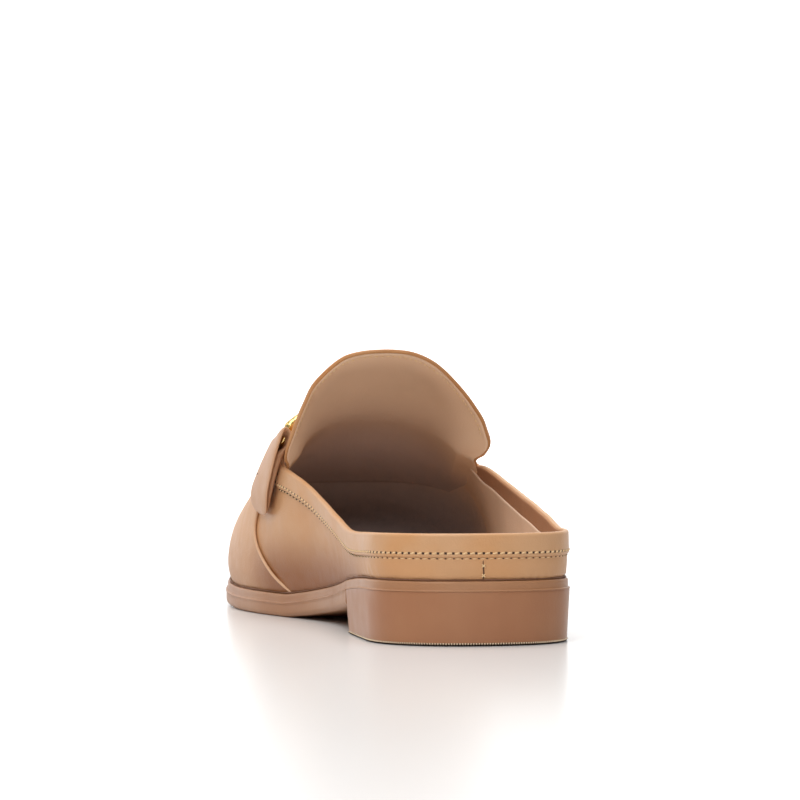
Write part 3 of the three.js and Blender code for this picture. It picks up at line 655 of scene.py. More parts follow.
def heel_creases(u, share):
    """Small pulled folds low on both turns of the heel: slanted waves that fade out."""
    run = run_of(u)
    folds = 0
    for centre, pitch in ((44.0, 4.2), (-47.0, 5.0), (17.0, 3.1)):
        fade = np.exp(-(((run - centre) / 9) ** 2)) * np.clip(1 - share * 2.2, 0, 1)
        folds = folds + 0.22 * fade * np.sin(2 * np.pi * (run - centre + 9 * share) / pitch)
    return folds


rear_u = even_walk(walk_of(QUARTER_END, True) - 1, walk_of(QUARTER_END, False), STEP)
rear_share = np.linspace(0, 1, 46)[:, None] ** 0.9


def quarter_face(inset):
    """The skin at an inset, from the sole to just under the collar's fold."""
    y = skin(rear_u, 0.3)[:, 1]
    top = reach_t(rear_u, top_line, 2.5 * ease((NOTCH_Y - y) / 6), inset, 0.8)
    t = rear_share * top
    round_out = 0.4 * np.sin(np.pi * np.clip(rear_share, 0, 1)) * ease(1.4 - np.abs(rear_u) / 0.12)
    move = tuck(rear_u, t, 0.6, 1.6) - round_out - heel_creases(rear_u, rear_share)
    grid = skin(rear_u, t, inset + move)
    grid[0, :, 2] -= 0.5
    return grid


rear_map = np.stack(np.broadcast_arrays(run_of(rear_u), rear_share * 12), -1)
quarters = sheet(quarter_face(0.0), quarter_face(0.9), rear_map, ("left", "right", "head", "foot"))
quarters.piece("quarters", upper_leather.material, "upper", ("upper",))

# %% [markdown]
# ## Vamp
# The vamp covers the forefoot from the side seams to the toe and lies over the quarters.
# Its rear edge is a curve in the side view, so each row of the grid starts where the skin
# meets that curve and runs round the toe to the other side. The top row is the ridge,
# where both halves meet, and all of it beyond the last's crown falls into one pole.

# %% Vamp


def vamp_line(z, y):
    """Where the rear edge lies at a height: the curve in the table, or the throat's line."""
    share = (z - sole_top(y)) / NOTCH_RISE
    start, end = collar_line(NOTCH_Y, 0.0), ridge_height(THROAT_Y) + GAP
    throat = mix(NOTCH_Y, THROAT_Y, np.clip((z - start) / (end - start), 0, 1))
    return np.maximum(vamp_edge(share) * SOLE_LENGTH, throat)


def vamp_start(t, inner, ahead=0.0):
    """The u at which the row t crosses the rear edge, found by halving."""
    low, high = np.full(t.shape, 0.45), np.full(t.shape, 0.8)
    for _ in range(24):
        w = (low + high) / 2
        p = skin(np.where(inner, 1 - w / 2, w / 2), t, -VAMP_STEP)
        past = p[..., 1] > vamp_line(p[..., 2], p[..., 1]) + ahead
        low, high = np.where(past, low, w), np.where(past, w, high)
    w = (low + high) / 2
    return np.where(inner, 1 - w / 2, w / 2)


vamp_t = np.concatenate([np.linspace(0, 0.06, 6)[:-1], np.linspace(0.06, 1, 52)])
side_walk = even_walk(0.32, 0.5, 1.2)
side_share = (side_walk - side_walk[0]) / (side_walk[-1] - side_walk[0])
outer_start, inner_start = vamp_start(vamp_t, False)[:, None], vamp_start(vamp_t, True)[:, None]
vamp_u = np.concatenate([mix(outer_start, 0.5, side_share), mix(inner_start, 0.5, side_share)[:, -2::-1]], 1)
vamp_rows = np.broadcast_to(vamp_t[:, None], vamp_u.shape)


def break_lines(u, t):
    """Soft folds where the forefoot bends: slanted waves on both sides of the ball."""
    station = plan_point(u)[1] / SOLE_LENGTH
    folds = 0
    for centre, pitch, size in ((0.71, 0.021, 0.10), (0.665, 0.017, 0.07)):
        place = station - centre + 0.035 * (t - 0.4)
        fade = np.exp(-((place / 0.022) ** 2)) * np.exp(-(((t - 0.42) / 0.2) ** 2))
        folds = folds + size * fade * np.sin(2 * np.pi * place / pitch)
    return folds


def vamp_face(inset):
    """The skin at an inset over the vamp's grid, with its two halves meeting on the ridge."""
    move = tuck(vamp_u, vamp_rows, 1.3, 7.0) - break_lines(vamp_u, vamp_rows)
    grid = skin(vamp_u, vamp_rows, inset + move)
    grid[0, :, 2] -= 0.5
    return mirror_ridge(grid)


vamp_map = np.stack([run_of(vamp_u), vamp_rows * 60], -1)
under = mix(-0.05, 1.3, ease((vamp_rows - 0.5) / 0.2))
vamp = sheet(vamp_face(-VAMP_STEP), vamp_face(under), vamp_map, ("left", "right", "foot"))
vamp.piece("vamp", upper_leather.material, "upper", ("upper",))

# %% [markdown]
# ## The collar's fold
# A strip of leather is folded over the collar's raw edge: a band outside, a facing inside.
# Its cross section is a hook. The hook is a list of depths below the edge and of insets,
# and the same hook is set at every column round the collar.

# %% Collar fold
FACING_HEIGHT = 6.4
STITCH_DROP, LOW_STITCH_DROP = 5.95, 7.55  # depths of the two rows below the collar's edge
fold_u = even_walk(walk_of(FOLD_END, True) - 1, walk_of(FOLD_END, False), 0.9)
fold_y = skin(fold_u, 0.3)[:, 1]


def hook_points(drops, insets, u=fold_u):
    """One row of points for each (drop, inset): the skin at that drop below the edge."""
    y = skin(u, 0.3)[:, 1]
    past = ease((y - 151) / 8)
    rows = []
    for drop, inset in zip(drops, insets):
        place = np.where(inset < 0, mix(inset, 0.05, past), inset)
        rows.append(skin(u, reach_t(u, top_line, np.maximum(drop, 0.01), place, 0.93), place))
    return np.stack(rows)


def roll(centre_drop, radius_drop, centre, radius, start, end, count):
    """Drops and insets round part of an oval in the cross section."""
    angle = np.linspace(start, end, count)
    return centre_drop - radius_drop * np.sin(angle), centre - radius * np.cos(angle)


# Down the facing inside, over the edge, down the band outside, and back under both
edge_out = roll(BAND_HEIGHT - 0.35, 0.35, -0.45, 0.45, 0, -np.pi / 2, 5)
edge_top = roll(0.9, 0.9, 0.1, 1.0, np.pi, 0, 11)
inside_drop, inside_inset = [FACING_HEIGHT, FACING_HEIGHT - 1, 5, 2.0], [1.0, 1.1, 1.1, 1.1]
band_drop, band_inset = np.linspace(1.4, BAND_HEIGHT - 0.6, 12), np.full(12, -BAND_STEP)
hook_drop = np.concatenate([inside_drop, edge_top[0], band_drop, edge_out[0]])
hook_inset = np.concatenate([inside_inset, edge_top[1], band_inset, edge_out[1]])
back_drop, back_inset = np.array([2.2, 1.9, 2.2]), np.array([0.1, 0.4, 0.7])
front = hook_points(hook_drop, hook_inset)
behind = hook_points(np.append(back_drop, FACING_HEIGHT), np.append(back_inset, 0.7))
seam_line = hook_points([STITCH_DROP], [-BAND_STEP])[0]
fold_run = run_along(seam_line)
fold_run = fold_run - np.interp(0, fold_u, fold_run)


def fold_map(drops):
    """The fold's map: length along the stitched line, and depth below the edge."""
    return np.stack(np.broadcast_arrays(fold_run[None, :], np.asarray(drops, float)[:, None]), -1)


whole = np.concatenate([front, behind, front[:1]])
drops = np.concatenate([hook_drop, back_drop, [FACING_HEIGHT, FACING_HEIGHT]])
fold = Surface().add(whole, fold_map(drops))
for end in (0, -1):
    rim = whole[:, end]
    centre = np.broadcast_to(rim.mean(0), rim.shape)
    fold.add(np.stack([rim, centre] if end == 0 else [centre, rim]))
print(f"collar fold: {fold_run[-1] - fold_run[0]:.0f} mm of strip, {len(whole)} points round its hook")

# %% [markdown]
# ## Needle holes in the finish
# Each stitch goes down through a small hole, sunk and darkened as painted shade. The fold's
# map runs along the stitched line in millimetres, so a hole is where that length is near a
# multiple of the pitch and the depth is near the row. Drawn in the finish, the holes cost no
# triangles.

# %% Fold finish
PITCH = 2.3
fold_leather = leather("fold_leather", (206, 160, 119), (204, 146, 92), 0.6, rough=0.42)


def punch(finish, pitch, row, size, depth=0.0002):
    """Sinks small holes at every pitch along a row at a given depth, darkened as painted shade."""
    along, across = finish.seam()
    hole = (1 - along.wave(pitch).step(size / pitch * 0.5, size / pitch)) * across.near(row, size)
    shader = finish.shader.inputs
    colour = Field(finish, shader["Base Color"].links[0].from_socket)
    bent = Field(finish, shader["Normal"].links[0].from_socket)
    # Painted shade: the hole is darkened, for the shade inside it
    finish.set("Base Color", finish.blend(hole, colour, linear(62, 38, 24)))
    finish.set("Normal", finish.bump(1 - hole, depth, bent))


punch(fold_leather, PITCH, STITCH_DROP, 0.5)
fold.piece("collar_fold", fold_leather.material, "upper")

# %% [markdown]
# ## Facing and linings
# Inside, a browner facing shows for the first six millimetres, and then the pale lining
# starts with a cut edge that lies over it. The facing's brown is painted shade on the fold's
# leather, and the vamp's lining is painted greyer deep in the shoe. The quarters' lining and
# the vamp's lining are two pieces, as in the shoe.

# %% Linings
# Painted shade: the facing is the fold's leather made browner, for the shade inside the collar
facing_painted_shade_leather = leather("facing_painted_shade_leather", (172, 124, 93), (160, 108, 74), 0.5, rough=0.6, coat=0.0)
facing_drop = np.array([0.75, 1.5, 2.7, 4.0, 5.4, FACING_HEIGHT + 1])
facing_u = even_walk(walk_of(FACING_END, True) - 1, walk_of(FACING_END, False), 1.2)
facing = sheet(
    hook_points(facing_drop, np.full(6, 1.05), facing_u)[::-1],
    hook_points(facing_drop, np.full(6, 1.3), facing_u)[::-1],
    np.zeros((6, len(facing_u), 2)),
    ("left", "right", "foot", "head"),
)
facing.piece("facing", facing_painted_shade_leather.material, "upper")

lining_share = np.linspace(0, 1, 40)[:, None]


def quarter_lining(inset):
    """The skin at an inset, up to the facing's lower edge, and higher towards the throat."""
    y = skin(rear_u, 0.3)[:, 1]
    drop = (FACING_HEIGHT - 0.7) * ease((150 - y) / 16)
    return skin(rear_u, lining_share * reach_t(rear_u, top_line, drop + 0.6, inset, 0.93), inset)


lining_map = np.stack(np.broadcast_arrays(run_of(rear_u), lining_share * 40), -1)
lining = sheet(quarter_lining(1.3), quarter_lining(1.85), lining_map, ("left", "right", "head", "foot"))
lining.piece("quarter_lining", lining_leather.material, "upper")

front_t = np.linspace(0, 1, 40)
front_start = np.broadcast_to(walk_of(THROAT_Y + 1.5, False), front_t.shape)[:, None]
outer_walk = mix(front_start, 0.5, side_share)
front_u = np.concatenate([outer_walk, (1 - outer_walk)[:, -2::-1]], 1)
front_rows = np.broadcast_to(front_t[:, None], front_u.shape)
front_map = np.stack([run_of(front_u), front_rows * 60], -1)
front_y = skin(front_u, front_rows, 1.5)[..., 1]
behind = ease((THROAT_Y + 22 - front_y) / 14)  # the rear margin runs in behind the quarter's lining
vamp_lining = sheet(
    mirror_ridge(skin(front_u, front_rows, 1.5 - 0.1 * behind)),
    mirror_ridge(skin(front_u, front_rows, 2.0 - 0.4 * behind)),
    front_map,
    ("left", "right", "foot"),
)
# Painted shade: this lining has the greyer, darker tone of the shoe's deep inside
vamp_lining.piece("vamp_lining", painted_shade_lining.material, "upper")

# %% [markdown]
# ## Tongue
# The tongue rises from under the vamp and opens to both sides at its free edge. Its
# leather is turned over the edge, and the pale lining starts one millimetre in. The
# turned edge is thicker, and both faces meet in a round. The lining is painted greyer
# further in, as painted shade, and paler on both sides and at its free edge, as painted light.

# %% Tongue
TONGUE_EDGE = {
    "across": (0, 0.1, 0.25, 0.5, 0.65, 0.75, 0.83, 0.87, 0.91, 0.96, 1),
    "at": (0.4205, 0.4215, 0.4305, 0.458, 0.478, 0.493, 0.506, 0.515, 0.524, 0.534, 0.542),
    "inner": (0, 0.34, 0.7, 0.72, 0.56, 0.48, 0.42, 0.36, 0.27, 0.1, 0),
    "outer": (0, 0.13, 0.3, 0.5, 0.68, 0.8, 0.8, 0.72, 0.48, 0.1, 0),
}
TONGUE_CORNER = {"inner": 0.3, "outer": 0.42}
TONGUE_FLARE = 9.2
TONGUE_LIFT = 1.2
TONGUE_START = WALL + 0.7
TONGUE_TUCK = 9
TONGUE_HEM, TONGUE_STITCH = 1.05, 2.1  # from the free edge to the lining and to the stitches
SPREAD_START = 4
tongue_at = level(TONGUE_EDGE, "at", "across")
curl = {side: level(TONGUE_EDGE, side, "across") for side in ("inner", "outer")}


def tongue_length(across):
    """How far the tongue runs from under the vamp to its free edge, along the shoe."""
    return THROAT_Y + TONGUE_TUCK - tongue_at(np.abs(across)) * SOLE_LENGTH


def tongue_point(across, along, inset):
    """The skin between throat and free edge, moved out sideways where the tongue is free."""
    across, along, inset = np.broadcast_arrays(across, along, inset)
    spread, inner = (np.sqrt(across**2 + 0.0049) - 0.07) / 0.93245, across < 0
    edge = tongue_at(spread) * SOLE_LENGTH
    y = mix(THROAT_Y + TONGUE_TUCK, edge, along)
    start = mix(THROAT_Y, NOTCH_Y, spread) - SPREAD_START
    free = ease((start - y) / np.maximum(start - edge, 1))
    corner = np.where(inner, TONGUE_CORNER["inner"], TONGUE_CORNER["outer"])
    flush = ease((spread - 0.78) / 0.2)
    depth = mix(inset - TONGUE_LIFT * free, 0.6 + 0.5 * (inset - TONGUE_START), flush)
    grid = skin(walk_of(y, inner), mix(1, corner, spread), depth)
    flare = TONGUE_FLARE * np.where(inner, curl["inner"](spread), curl["outer"](spread))
    grid[..., 0] += np.sign(across) * flare * free
    return grid


tongue_across = np.linspace(-1, 1, 141)[None, :]
tongue_rows = 1 - np.linspace(1, 0, 64)[:, None] ** 1.5
from_edge = (1 - tongue_rows) * tongue_length(tongue_across)
rounding = 1 - np.sqrt(1 - (1 - np.clip(from_edge / 1.2, 0, 1)) ** 2)
turned = mix(1.2, 1.0, ease((from_edge - 2.4) / 0.9))
tongue_map = np.stack([tongue_across * 40 + 0 * from_edge, from_edge], -1)
tongue = sheet(
    tongue_point(tongue_across, tongue_rows, TONGUE_START + rounding),
    tongue_point(tongue_across, tongue_rows, TONGUE_START + turned - rounding * turned / 2),
    tongue_map,
    ("left", "right", "foot"),
)
tongue_leather = leather("tongue_leather", (198, 146, 100), (192, 128, 72), 0.6, rough=0.45)
tongue.piece("tongue", tongue_leather.material, "tongue", ("tongue",))

tongue_end = 1 - TONGUE_HEM / tongue_length(tongue_across)
lining_rows = mix(-0.75, tongue_end, 1 - np.linspace(1, 0, 70)[:, None] ** 1.3)
under_vamp = ease(-lining_rows / 0.75)
lining_from_edge = (1 - lining_rows) * tongue_length(tongue_across)
lining_map = np.stack([tongue_across * 40 + 0 * lining_rows, lining_from_edge], -1)


def lining_face(depth):
    """The tongue's surface at a depth, easing on to the vamp's lining under the vamp."""
    return tongue_point(tongue_across, lining_rows, mix(TONGUE_START + depth, 0.45 + depth, under_vamp))


across_tongue, from_free_edge = tongue_skin.seam()
# Painted shade: the lining greys further into the shoe. Painted light: it is paler on both sides and near the
# free edge
painted_light_sides = (1 - across_tongue.near(0, 38)) * from_free_edge.step(36, 8)
tongue_skin.toned(linear(190, 174, 174), tongue_skin.object_axis(1).step(-0.002, 0.052))
tongue_skin.toned(linear(242, 210, 180), 0.55 * painted_light_sides)
tongue_skin.toned(linear(236, 202, 170), 0.7 * from_free_edge.step(11, 1))
tongue_lining = sheet(lining_face(0.95), lining_face(1.6), lining_map, ("left", "right", "foot", "head"))
tongue_lining.piece("tongue_lining", tongue_skin.material, "tongue")
stitch_along = 1 - TONGUE_STITCH / tongue_length(tongue_across)
tongue_row = [tongue_point(tongue_across, stitch_along, TONGUE_START + depth)[0] for depth in (1.62, 2.2)]

# %% [markdown]
# ## Folded tabs
# On each side of the instep a strip of leather comes up from a round tip, goes round the
# ring's wire and returns under itself. It is softly padded, so it stands 3.5 mm high. Its
# middle line is drawn once in a plane, along the strip and off the vamp, and its two faces
# lie half a thickness to either side of it.

# %% Tabs
TAB_WIDTH = 21
TAB_THICKNESS = 1.0
TAB_LENGTH = 27.0
WIRE = 2.1
LOOP_ROOM = 1.9
TAB_TIP, TAB_TOP = (0.616, 0.214), (0.547, 0.488)
TAB_SQUARE = 0.04  # how far across turns up the last, so that the strip is cut square
OUTER_SHIFT = (0.03, 0.035)


def tab_point(inner, along, across, rise):
    """The vamp's face at a place along and across the strip, moved off it by rise.

    The outer tab lies further to the front, lower, and closer to the vamp.
    """
    ahead, down, rise = (0, 0, rise) if inner else (*OUTER_SHIFT, 0.65 * rise)
    end = (1 - np.clip(1 - along / 0.2, 0, 1) ** 2.6) ** (1 / 2.6)
    taper = end * (1 - 0.3 * np.clip((along - 0.8) / 0.2, 0, 1) ** 2)
    lean = 1 - (1 - np.minimum(along, 1)) ** 1.3
    y = (mix(TAB_TIP[0], TAB_TOP[0], lean) + ahead) * SOLE_LENGTH + across * taper * TAB_WIDTH / 2
    t = mix(TAB_TIP[1], TAB_TOP[1], along) + across * taper * TAB_SQUARE - down
    return skin(walk_of(y, inner), t, -VAMP_STEP - GAP - rise)


OUT_ROWS, TURN_ROWS = 44, 18  # rows of the strip on its way out, and round the wire


def strip_line():
    """Rows (along, rise, half thickness) of the strip: out, round the wire, and back.

    Out: the middle climbs as 1 - (1 - s / 0.27) squared to its full rise. Round: a half
    ellipse. Back: the padded lower layer fills the room down to the vamp.
    """
    half = TAB_THICKNESS / 2
    high, low = TAB_THICKNESS + LOOP_ROOM + half - 0.4, half - 0.4

    def climb(s):
        """Rise of the strip's middle at a share s of its length."""
        return mix(half + 0.1, high, 1 - (1 - np.minimum(s / 0.27, 1)) ** 2)

    out = np.linspace(0.0, 0.8, OUT_ROWS)
    angle = np.linspace(0, np.pi, TURN_ROWS + 1)[1:]
    turn = 0.8 + 2.2 / TAB_LENGTH * np.sin(angle)
    back = np.linspace(0.78, 0.05, 34)
    near_wire = ease((back - 0.6) / 0.16)
    top = mix(climb(back) - half - 0.12, low + half, near_wire)
    foot = mix(0.05, low - half, near_wire)
    parts = (
        (out, climb(out), np.clip(np.arange(OUT_ROWS) / 3, 0.25, 1) * half),
        (turn, (high + low) / 2 + (high - low) / 2 * np.cos(angle), 0 * angle + half),
        (back, (top + foot) / 2, (top - foot) / 2),
    )
    rows = np.concatenate([np.stack(part, -1) for part in parts])
    return rows[:, :2] * [TAB_LENGTH, 1], rows[:, 2:]


line, thin = strip_line()
tangent = unit(np.gradient(line, axis=0))
normal = np.stack([-tangent[:, 1], tangent[:, 0]], -1)
tab_across = np.sin(np.linspace(-1, 1, 25) * np.pi / 2)
soft = np.sqrt(1 - np.abs(tab_across) ** 8)[None, :, None]  # thins the strip at its cut edges
lower_layer = np.arange(len(line)) >= OUT_ROWS + TURN_ROWS
narrow = np.where(lower_layer, 0.78, 1.0)[:, None]  # the lower layer is trimmed
strip_run = run_along(line)
tab_map = np.stack(np.broadcast_arrays(strip_run[:, None], tab_across[None, :] * TAB_WIDTH / 2), -1)
tab_leather = leather("tab_leather", (198, 152, 116), (190, 134, 86), 0.45, rough=0.45)


def tab_faces(inner):
    """The strip's upper and lower face as two grids."""
    faces = []
    for side in (1, -1):
        place = line[:, None, :] + side * normal[:, None, :] * thin[:, :, None] * soft
        faces.append(tab_point(inner, place[..., 0] / TAB_LENGTH, tab_across * narrow, place[..., 1]))
    return faces


for name, inner in (("strap_tab_inner", True), ("strap_tab_outer", False)):
    strip = sheet(*tab_faces(inner), tab_map, ("foot", "head"))
    strip.piece(name, tab_leather.material, "strap_tab", (name,))

# %% [markdown]
# ## Bit
# The metal bit has a squared ring in each tab's loop, and a slim bar over the instep that
# joins them. Round wire is a circle carried along a path. The bar swells into a bead near
# each ring and into a small knuckle in the middle.

# %% Sweeps


def sweep(path, radius, up, closed=False, sides=16):
    """A circle carried along a path: p + r (cos a side + sin a up), with poles at open ends."""
    before, after = np.roll(path, 1, 0), np.roll(path, -1, 0)
    if not closed:
        before[0], after[-1] = path[0], path[-1]
    ahead = unit(after - before)
    side = unit(np.cross(ahead, up))
    rise = np.cross(side, ahead)
    angle = np.linspace(0, 2 * np.pi, sides, endpoint=False)[None, :, None]
    ring = np.cos(angle) * side[:, None] + np.sin(angle) * rise[:, None]
    grid = path[:, None] + np.broadcast_to(radius, len(path))[:, None, None] * ring
    if closed:
        return np.concatenate([grid, grid[:1]])
    ends, caps = [], []
    for k, way in ((0, -1), (-1, 1)):
        reach = way * 0.3 * np.broadcast_to(radius, len(path))[k] * ahead[k]
        caps.append((path[k] + 0.7 * (grid[k] - path[k]) + reach)[None])
        ends.append(np.broadcast_to(path[k], (1, sides, 3)))
    return np.concatenate([ends[0], caps[0], grid, caps[1], ends[1]])


RING_LENGTH, RING_HEIGHT, RING_SHIFT, BAR = 19, 7.6, 4, 3.2
gold = Finish("gold_metal", (236, 203, 132), Metallic=1.0)
gold.set("Roughness", 0.16 + 0.12 * gold.noise(0.003, 3.0))
gold.set("Normal", gold.bump(gold.noise(0.002, 2.0), 0.00002))
print(f"each ring is {RING_LENGTH} by {RING_HEIGHT} mm of {WIRE} mm wire")

# %% [markdown]
# ## Rings and bar
# A ring is a squared oval that stands with its low side in the tab's loop, so its place
# comes from the tab. The bar starts at the one ring's upper side, follows the leather over
# the instep at a small clearance, as a bit that has been worn does, and ends at the other.

# %% Rings and bar


def ring_frame(inner):
    """Where a ring starts in the loop, and its directions along the shoe and up the vamp."""
    rise = TAB_THICKNESS * 0.6 + LOOP_ROOM / 2
    places = ((0.76, 0.0, rise), (1.1, 0.0, 0.6), (0.76, 1.0, rise), (0.76, -1.0, rise))
    low, high, ahead, back = (tab_point(inner, np.array(a), np.array(b), c) for a, b, c in places)
    along = unit(ahead - back)
    up = high - low
    return low + RING_SHIFT * along, along, unit(up - along * np.dot(up, along))


def ring_path(inner, steps=96):
    """A superellipse of exponent 0.62 that stands on its low side in the loop."""
    low, along, up = ring_frame(inner)
    angle = np.linspace(0, 2 * np.pi, steps, endpoint=False)
    c, s = (np.sign(v) * np.abs(v) ** 0.62 for v in (np.cos(angle), np.sin(angle)))
    wide, tall = (RING_LENGTH - WIRE) / 2, (RING_HEIGHT - WIRE) / 2
    path = low + along * (c * wide)[:, None] + up * ((1 + s) * tall)[:, None]
    return path, np.cross(along, up)


def bar_path(steps=90):
    """From ring to ring over the crown, along the vamp's face and 1.9 mm off it.

    The skin's t runs from the one ring's value up to 1 and down to the other's. Near both
    ends the path eases over to the ring's own upper side.
    """
    clear = -VAMP_STEP - 1.9
    ends, starts = [], []
    for inner in (True, False):
        low, _, up = ring_frame(inner)
        end = low + up * (RING_HEIGHT - WIRE)
        ends.append(end)
        starts.append(reach_t(walk_of(end[1], inner), flat_line(end[2]), 0.0, clear))
    s = np.linspace(0, 1, steps)
    inner = s < 0.5
    t = 1 - np.abs(2 * s - 1) * (1 - np.where(inner, *starts))
    path = skin(walk_of(mix(ends[0][1], ends[1][1], s), inner), t, clear)
    for k, share in ((0, s), (-1, 1 - s)):
        path = path + (ends[k] - path[k]) * ease(1 - share / 0.12)[:, None]
    return path, s


bit = Surface()
for inner in (True, False):
    path, face = ring_path(inner)
    bit.add(sweep(path, WIRE / 2, np.broadcast_to(face, path.shape), closed=True), wrap=True)
path, share = bar_path()
bead = np.exp(-(((share - 0.5) / 0.03) ** 2)) * 0.8
for place in (0.06, 0.94):
    bead = bead + np.exp(-(((share - place) / 0.022) ** 2)) * 0.7
radius = BAR / 2 * mix(0.92, 0.62, np.sin(np.pi * share) ** 2) + bead * 0.55
bit.add(sweep(path, radius, np.broadcast_to([0.0, 1.0, 0.2], path.shape)), wrap=True)
bit.piece("bit", gold.material, "bit", ("bit",))

# %% [markdown]
# ## Outsole and heel
# The sole and the stacked heel are one brown-pink moulding to the eye. Both are walls of
# rings that follow the plan, each ring with an inset and a height, and two lids that are
# laid from side to side. The upper three millimetres of the wall stand back behind a fine
# bead, which catches the light as a line round the shoe.

# %% Rings round the plan
side_w = 2 * even_walk(0, 0.5, 0.9)


def ring_wall(w, rings):
    """Rows of rim points from heel to toe and back. A ring is an inset and a height of y."""
    u = np.concatenate([w / 2, 1 - w[-2:0:-1] / 2])
    rows = []
    for inset, height in rings:
        x, y = rim_point(u, inset)
        rows.append(np.stack([x, y, height(y)], -1))
    return np.stack(rows), u


def lid(row, half, steps=9, crown=0.0):
    """Joins the ring's two sides, station by station, with a crown of 1 - across^2."""
    count = row.shape[0]
    outer, inner = row[:half], row[(-np.arange(half)) % count]
    share = np.linspace(0, 1, steps)[:, None, None]
    grid = mix(outer[None], inner[None], share)
    grid[..., 2] += crown * (1 - (2 * share[..., 0] - 1) ** 4)
    return grid


def moulding(w, rings, crown=0.0):
    """A closed body from rings, lowest first, with a lid below and one above."""
    wall, u = ring_wall(w, rings)
    run = np.broadcast_to(run_of(np.where(u > 0.5, u - 1, u)), wall.shape[:2])
    below, above = lid(wall[0], len(w)), lid(wall[-1], len(w), crown=crown)
    return Surface().add(wall, np.stack([run, wall[..., 2]], -1), wrap=True).add(below, flip=True).add(above)


def rubber(name, colour, warm, rough=0.4):
    """Moulded sole: satin, with broad patches, faint flow lines upright and fine grain."""
    finish = Finish(name, colour, Specular_IOR_Level=0.32)
    patches = finish.noise(0.03, 2.0).step(0.4, 0.65)
    flow = finish.noise(0.004, 2.0, stretch=(1, 1, 0.3), shift=0.4).step(0.35, 0.75)
    tint = finish.blend(patches * 0.5, finish.base, linear(*warm))
    finish.set("Base Color", finish.blend(flow * 0.1, tint, linear(*(0.88 * value for value in colour))))
    finish.set("Roughness", rough + 0.2 * (finish.noise(0.008, 3.0) - 0.5))
    finish.set("Normal", finish.bump(finish.noise(0.0009, 3.0), 0.00004))
    return finish


sole_rubber = rubber("sole_rubber", (172, 125, 90), (164, 113, 79))
breast_w = 2 * float(walk_of(HEEL_LENGTH, False))
sole_w = np.sort(np.append(side_w, [breast_w - 1e-4, breast_w + 1e-4]))


def rim_floor(y):
    """Height of the bead under the rim: the sole's top less the rim's height."""
    return sole_top(y) - RIM_HEIGHT


def underside(rise):
    """The sole's lower face, or its seat on the heel behind the breast, raised by rise."""
    return lambda y: np.where(y < HEEL_LENGTH, rim_floor(y) - 0.02, sole_bottom(y) + rise)


def sole_rings():
    """Rings of the outsole: a rounded lower edge, the wall, the bead and the rim."""
    rings = []
    for a in np.linspace(0, np.pi / 2, 6):
        rings.append((EDGE_ROUND * (1 - np.sin(a)), underside(EDGE_ROUND * (1 - np.cos(a)))))
    edge = underside(EDGE_ROUND)
    for share in (0.35, 0.7):
        rings.append((0, lambda y, s=share: mix(edge(y), rim_floor(y) - 0.35, s * (y >= HEEL_LENGTH))))
    bead_rings = [(0, -0.32), (-0.12, -0.2), (-0.17, 0.0), (-0.12, 0.18)]
    bead_rings += [(0.1, 0.3), (0.42, 0.36), (0.5, 0.5)]
    for inset, rise in bead_rings:
        rings.append((inset, lambda y, r=rise: rim_floor(y) + np.where(y < HEEL_LENGTH, max(r, 0), r)))
    top_rings = [(0.5, -1.6), (0.5, -0.7), (0.56, -0.4), (0.7, -0.15), (0.95, 0.0), (3.0, 0.02), (6.0, 0.0)]
    for inset, drop in top_rings:
        rings.append((inset, lambda y, d=drop: sole_top(y) + d))
    return rings


outsole = moulding(sole_w, sole_rings())
outsole.piece("outsole_shell", sole_rubber.material, "outsole", ("outsole",))

# %% [markdown]
# ## Heel block
# The heel tapers a little to the ground. Its lowest millimetre is finely toothed, as on
# a moulded top piece, with teeth 0.85 mm apart, painted pale on their tips as painted
# highlight, darker between as painted shade, and nearly black at the foot as painted shadow.
# They are real ridges in the mesh, so that they also show in the outline. The breast is a
# flat slanting wall, so it has its own columns.

# %% Heel
RIB_PITCH = 0.85
RIB_DEPTH = 0.3
RIB_HEIGHT = 0.9
BLOCK_HEIGHT = 16.3
BLOCK_RINGS = (0, 0.12, 0.35, 0.7, 0.85, 1.0, 1.3, 2.0, 4, 6, 8, 10, 12, 14, 15.5, 16.0, 16.3)


def heel_piece():
    """Rings as above, cut off at the breast: columns stop there and a wall joins the ends."""
    end = 2 * float(walk_of(HEEL_LENGTH - GAP, False))
    w = 2 * even_walk(0, end / 2, RIB_PITCH / 4)
    u = np.concatenate([-w[:0:-1] / 2, w / 2])
    run = run_of(u)
    rows = []
    for height in BLOCK_RINGS:
        share = height / BLOCK_HEIGHT
        inset = HEEL_TAPER * (1 - share) + 0.8 * (1 - np.sqrt(1 - (1 - min(height / 0.8, 1)) ** 2))
        inset += 0.18 * max(0, (height - 15.9) / 0.4)
        ribs = RIB_DEPTH * (height < RIB_HEIGHT) * np.cos(2 * np.pi * run / RIB_PITCH)
        x, y = rim_point(u, inset + ribs)
        z = share * (sole_top(y) - RIM_HEIGHT - 0.02)
        rows.append(np.stack([x, np.minimum(y, HEEL_LENGTH - BREAST_SLANT * (1 - share) - 0.05), z], -1))
    wall = np.stack(rows)
    half = len(w)
    across = np.linspace(0, 1, 7)
    breast = mix(wall[:, :1], wall[:, -1:], across[None, :, None])
    heel = Surface().add(wall, np.stack([np.broadcast_to(run, wall.shape[:2]), wall[..., 2]], -1))
    heel.add(breast, np.full((*breast.shape[:2], 2), 5.0), flip=True)
    for row, turned_over in ((wall[0], True), (wall[-1], False)):
        outer, inner = row[half - 1 :], row[: half][::-1]
        lid_grid = mix(inner[None], outer[None], across[:, None, None])
        heel.add(lid_grid, np.full((*lid_grid.shape[:2], 2), 5.0), flip=turned_over)
    return heel


heel_rubber = rubber("heel_rubber", (169, 118, 84), (159, 104, 73))
run_field, height_field = heel_rubber.seam()
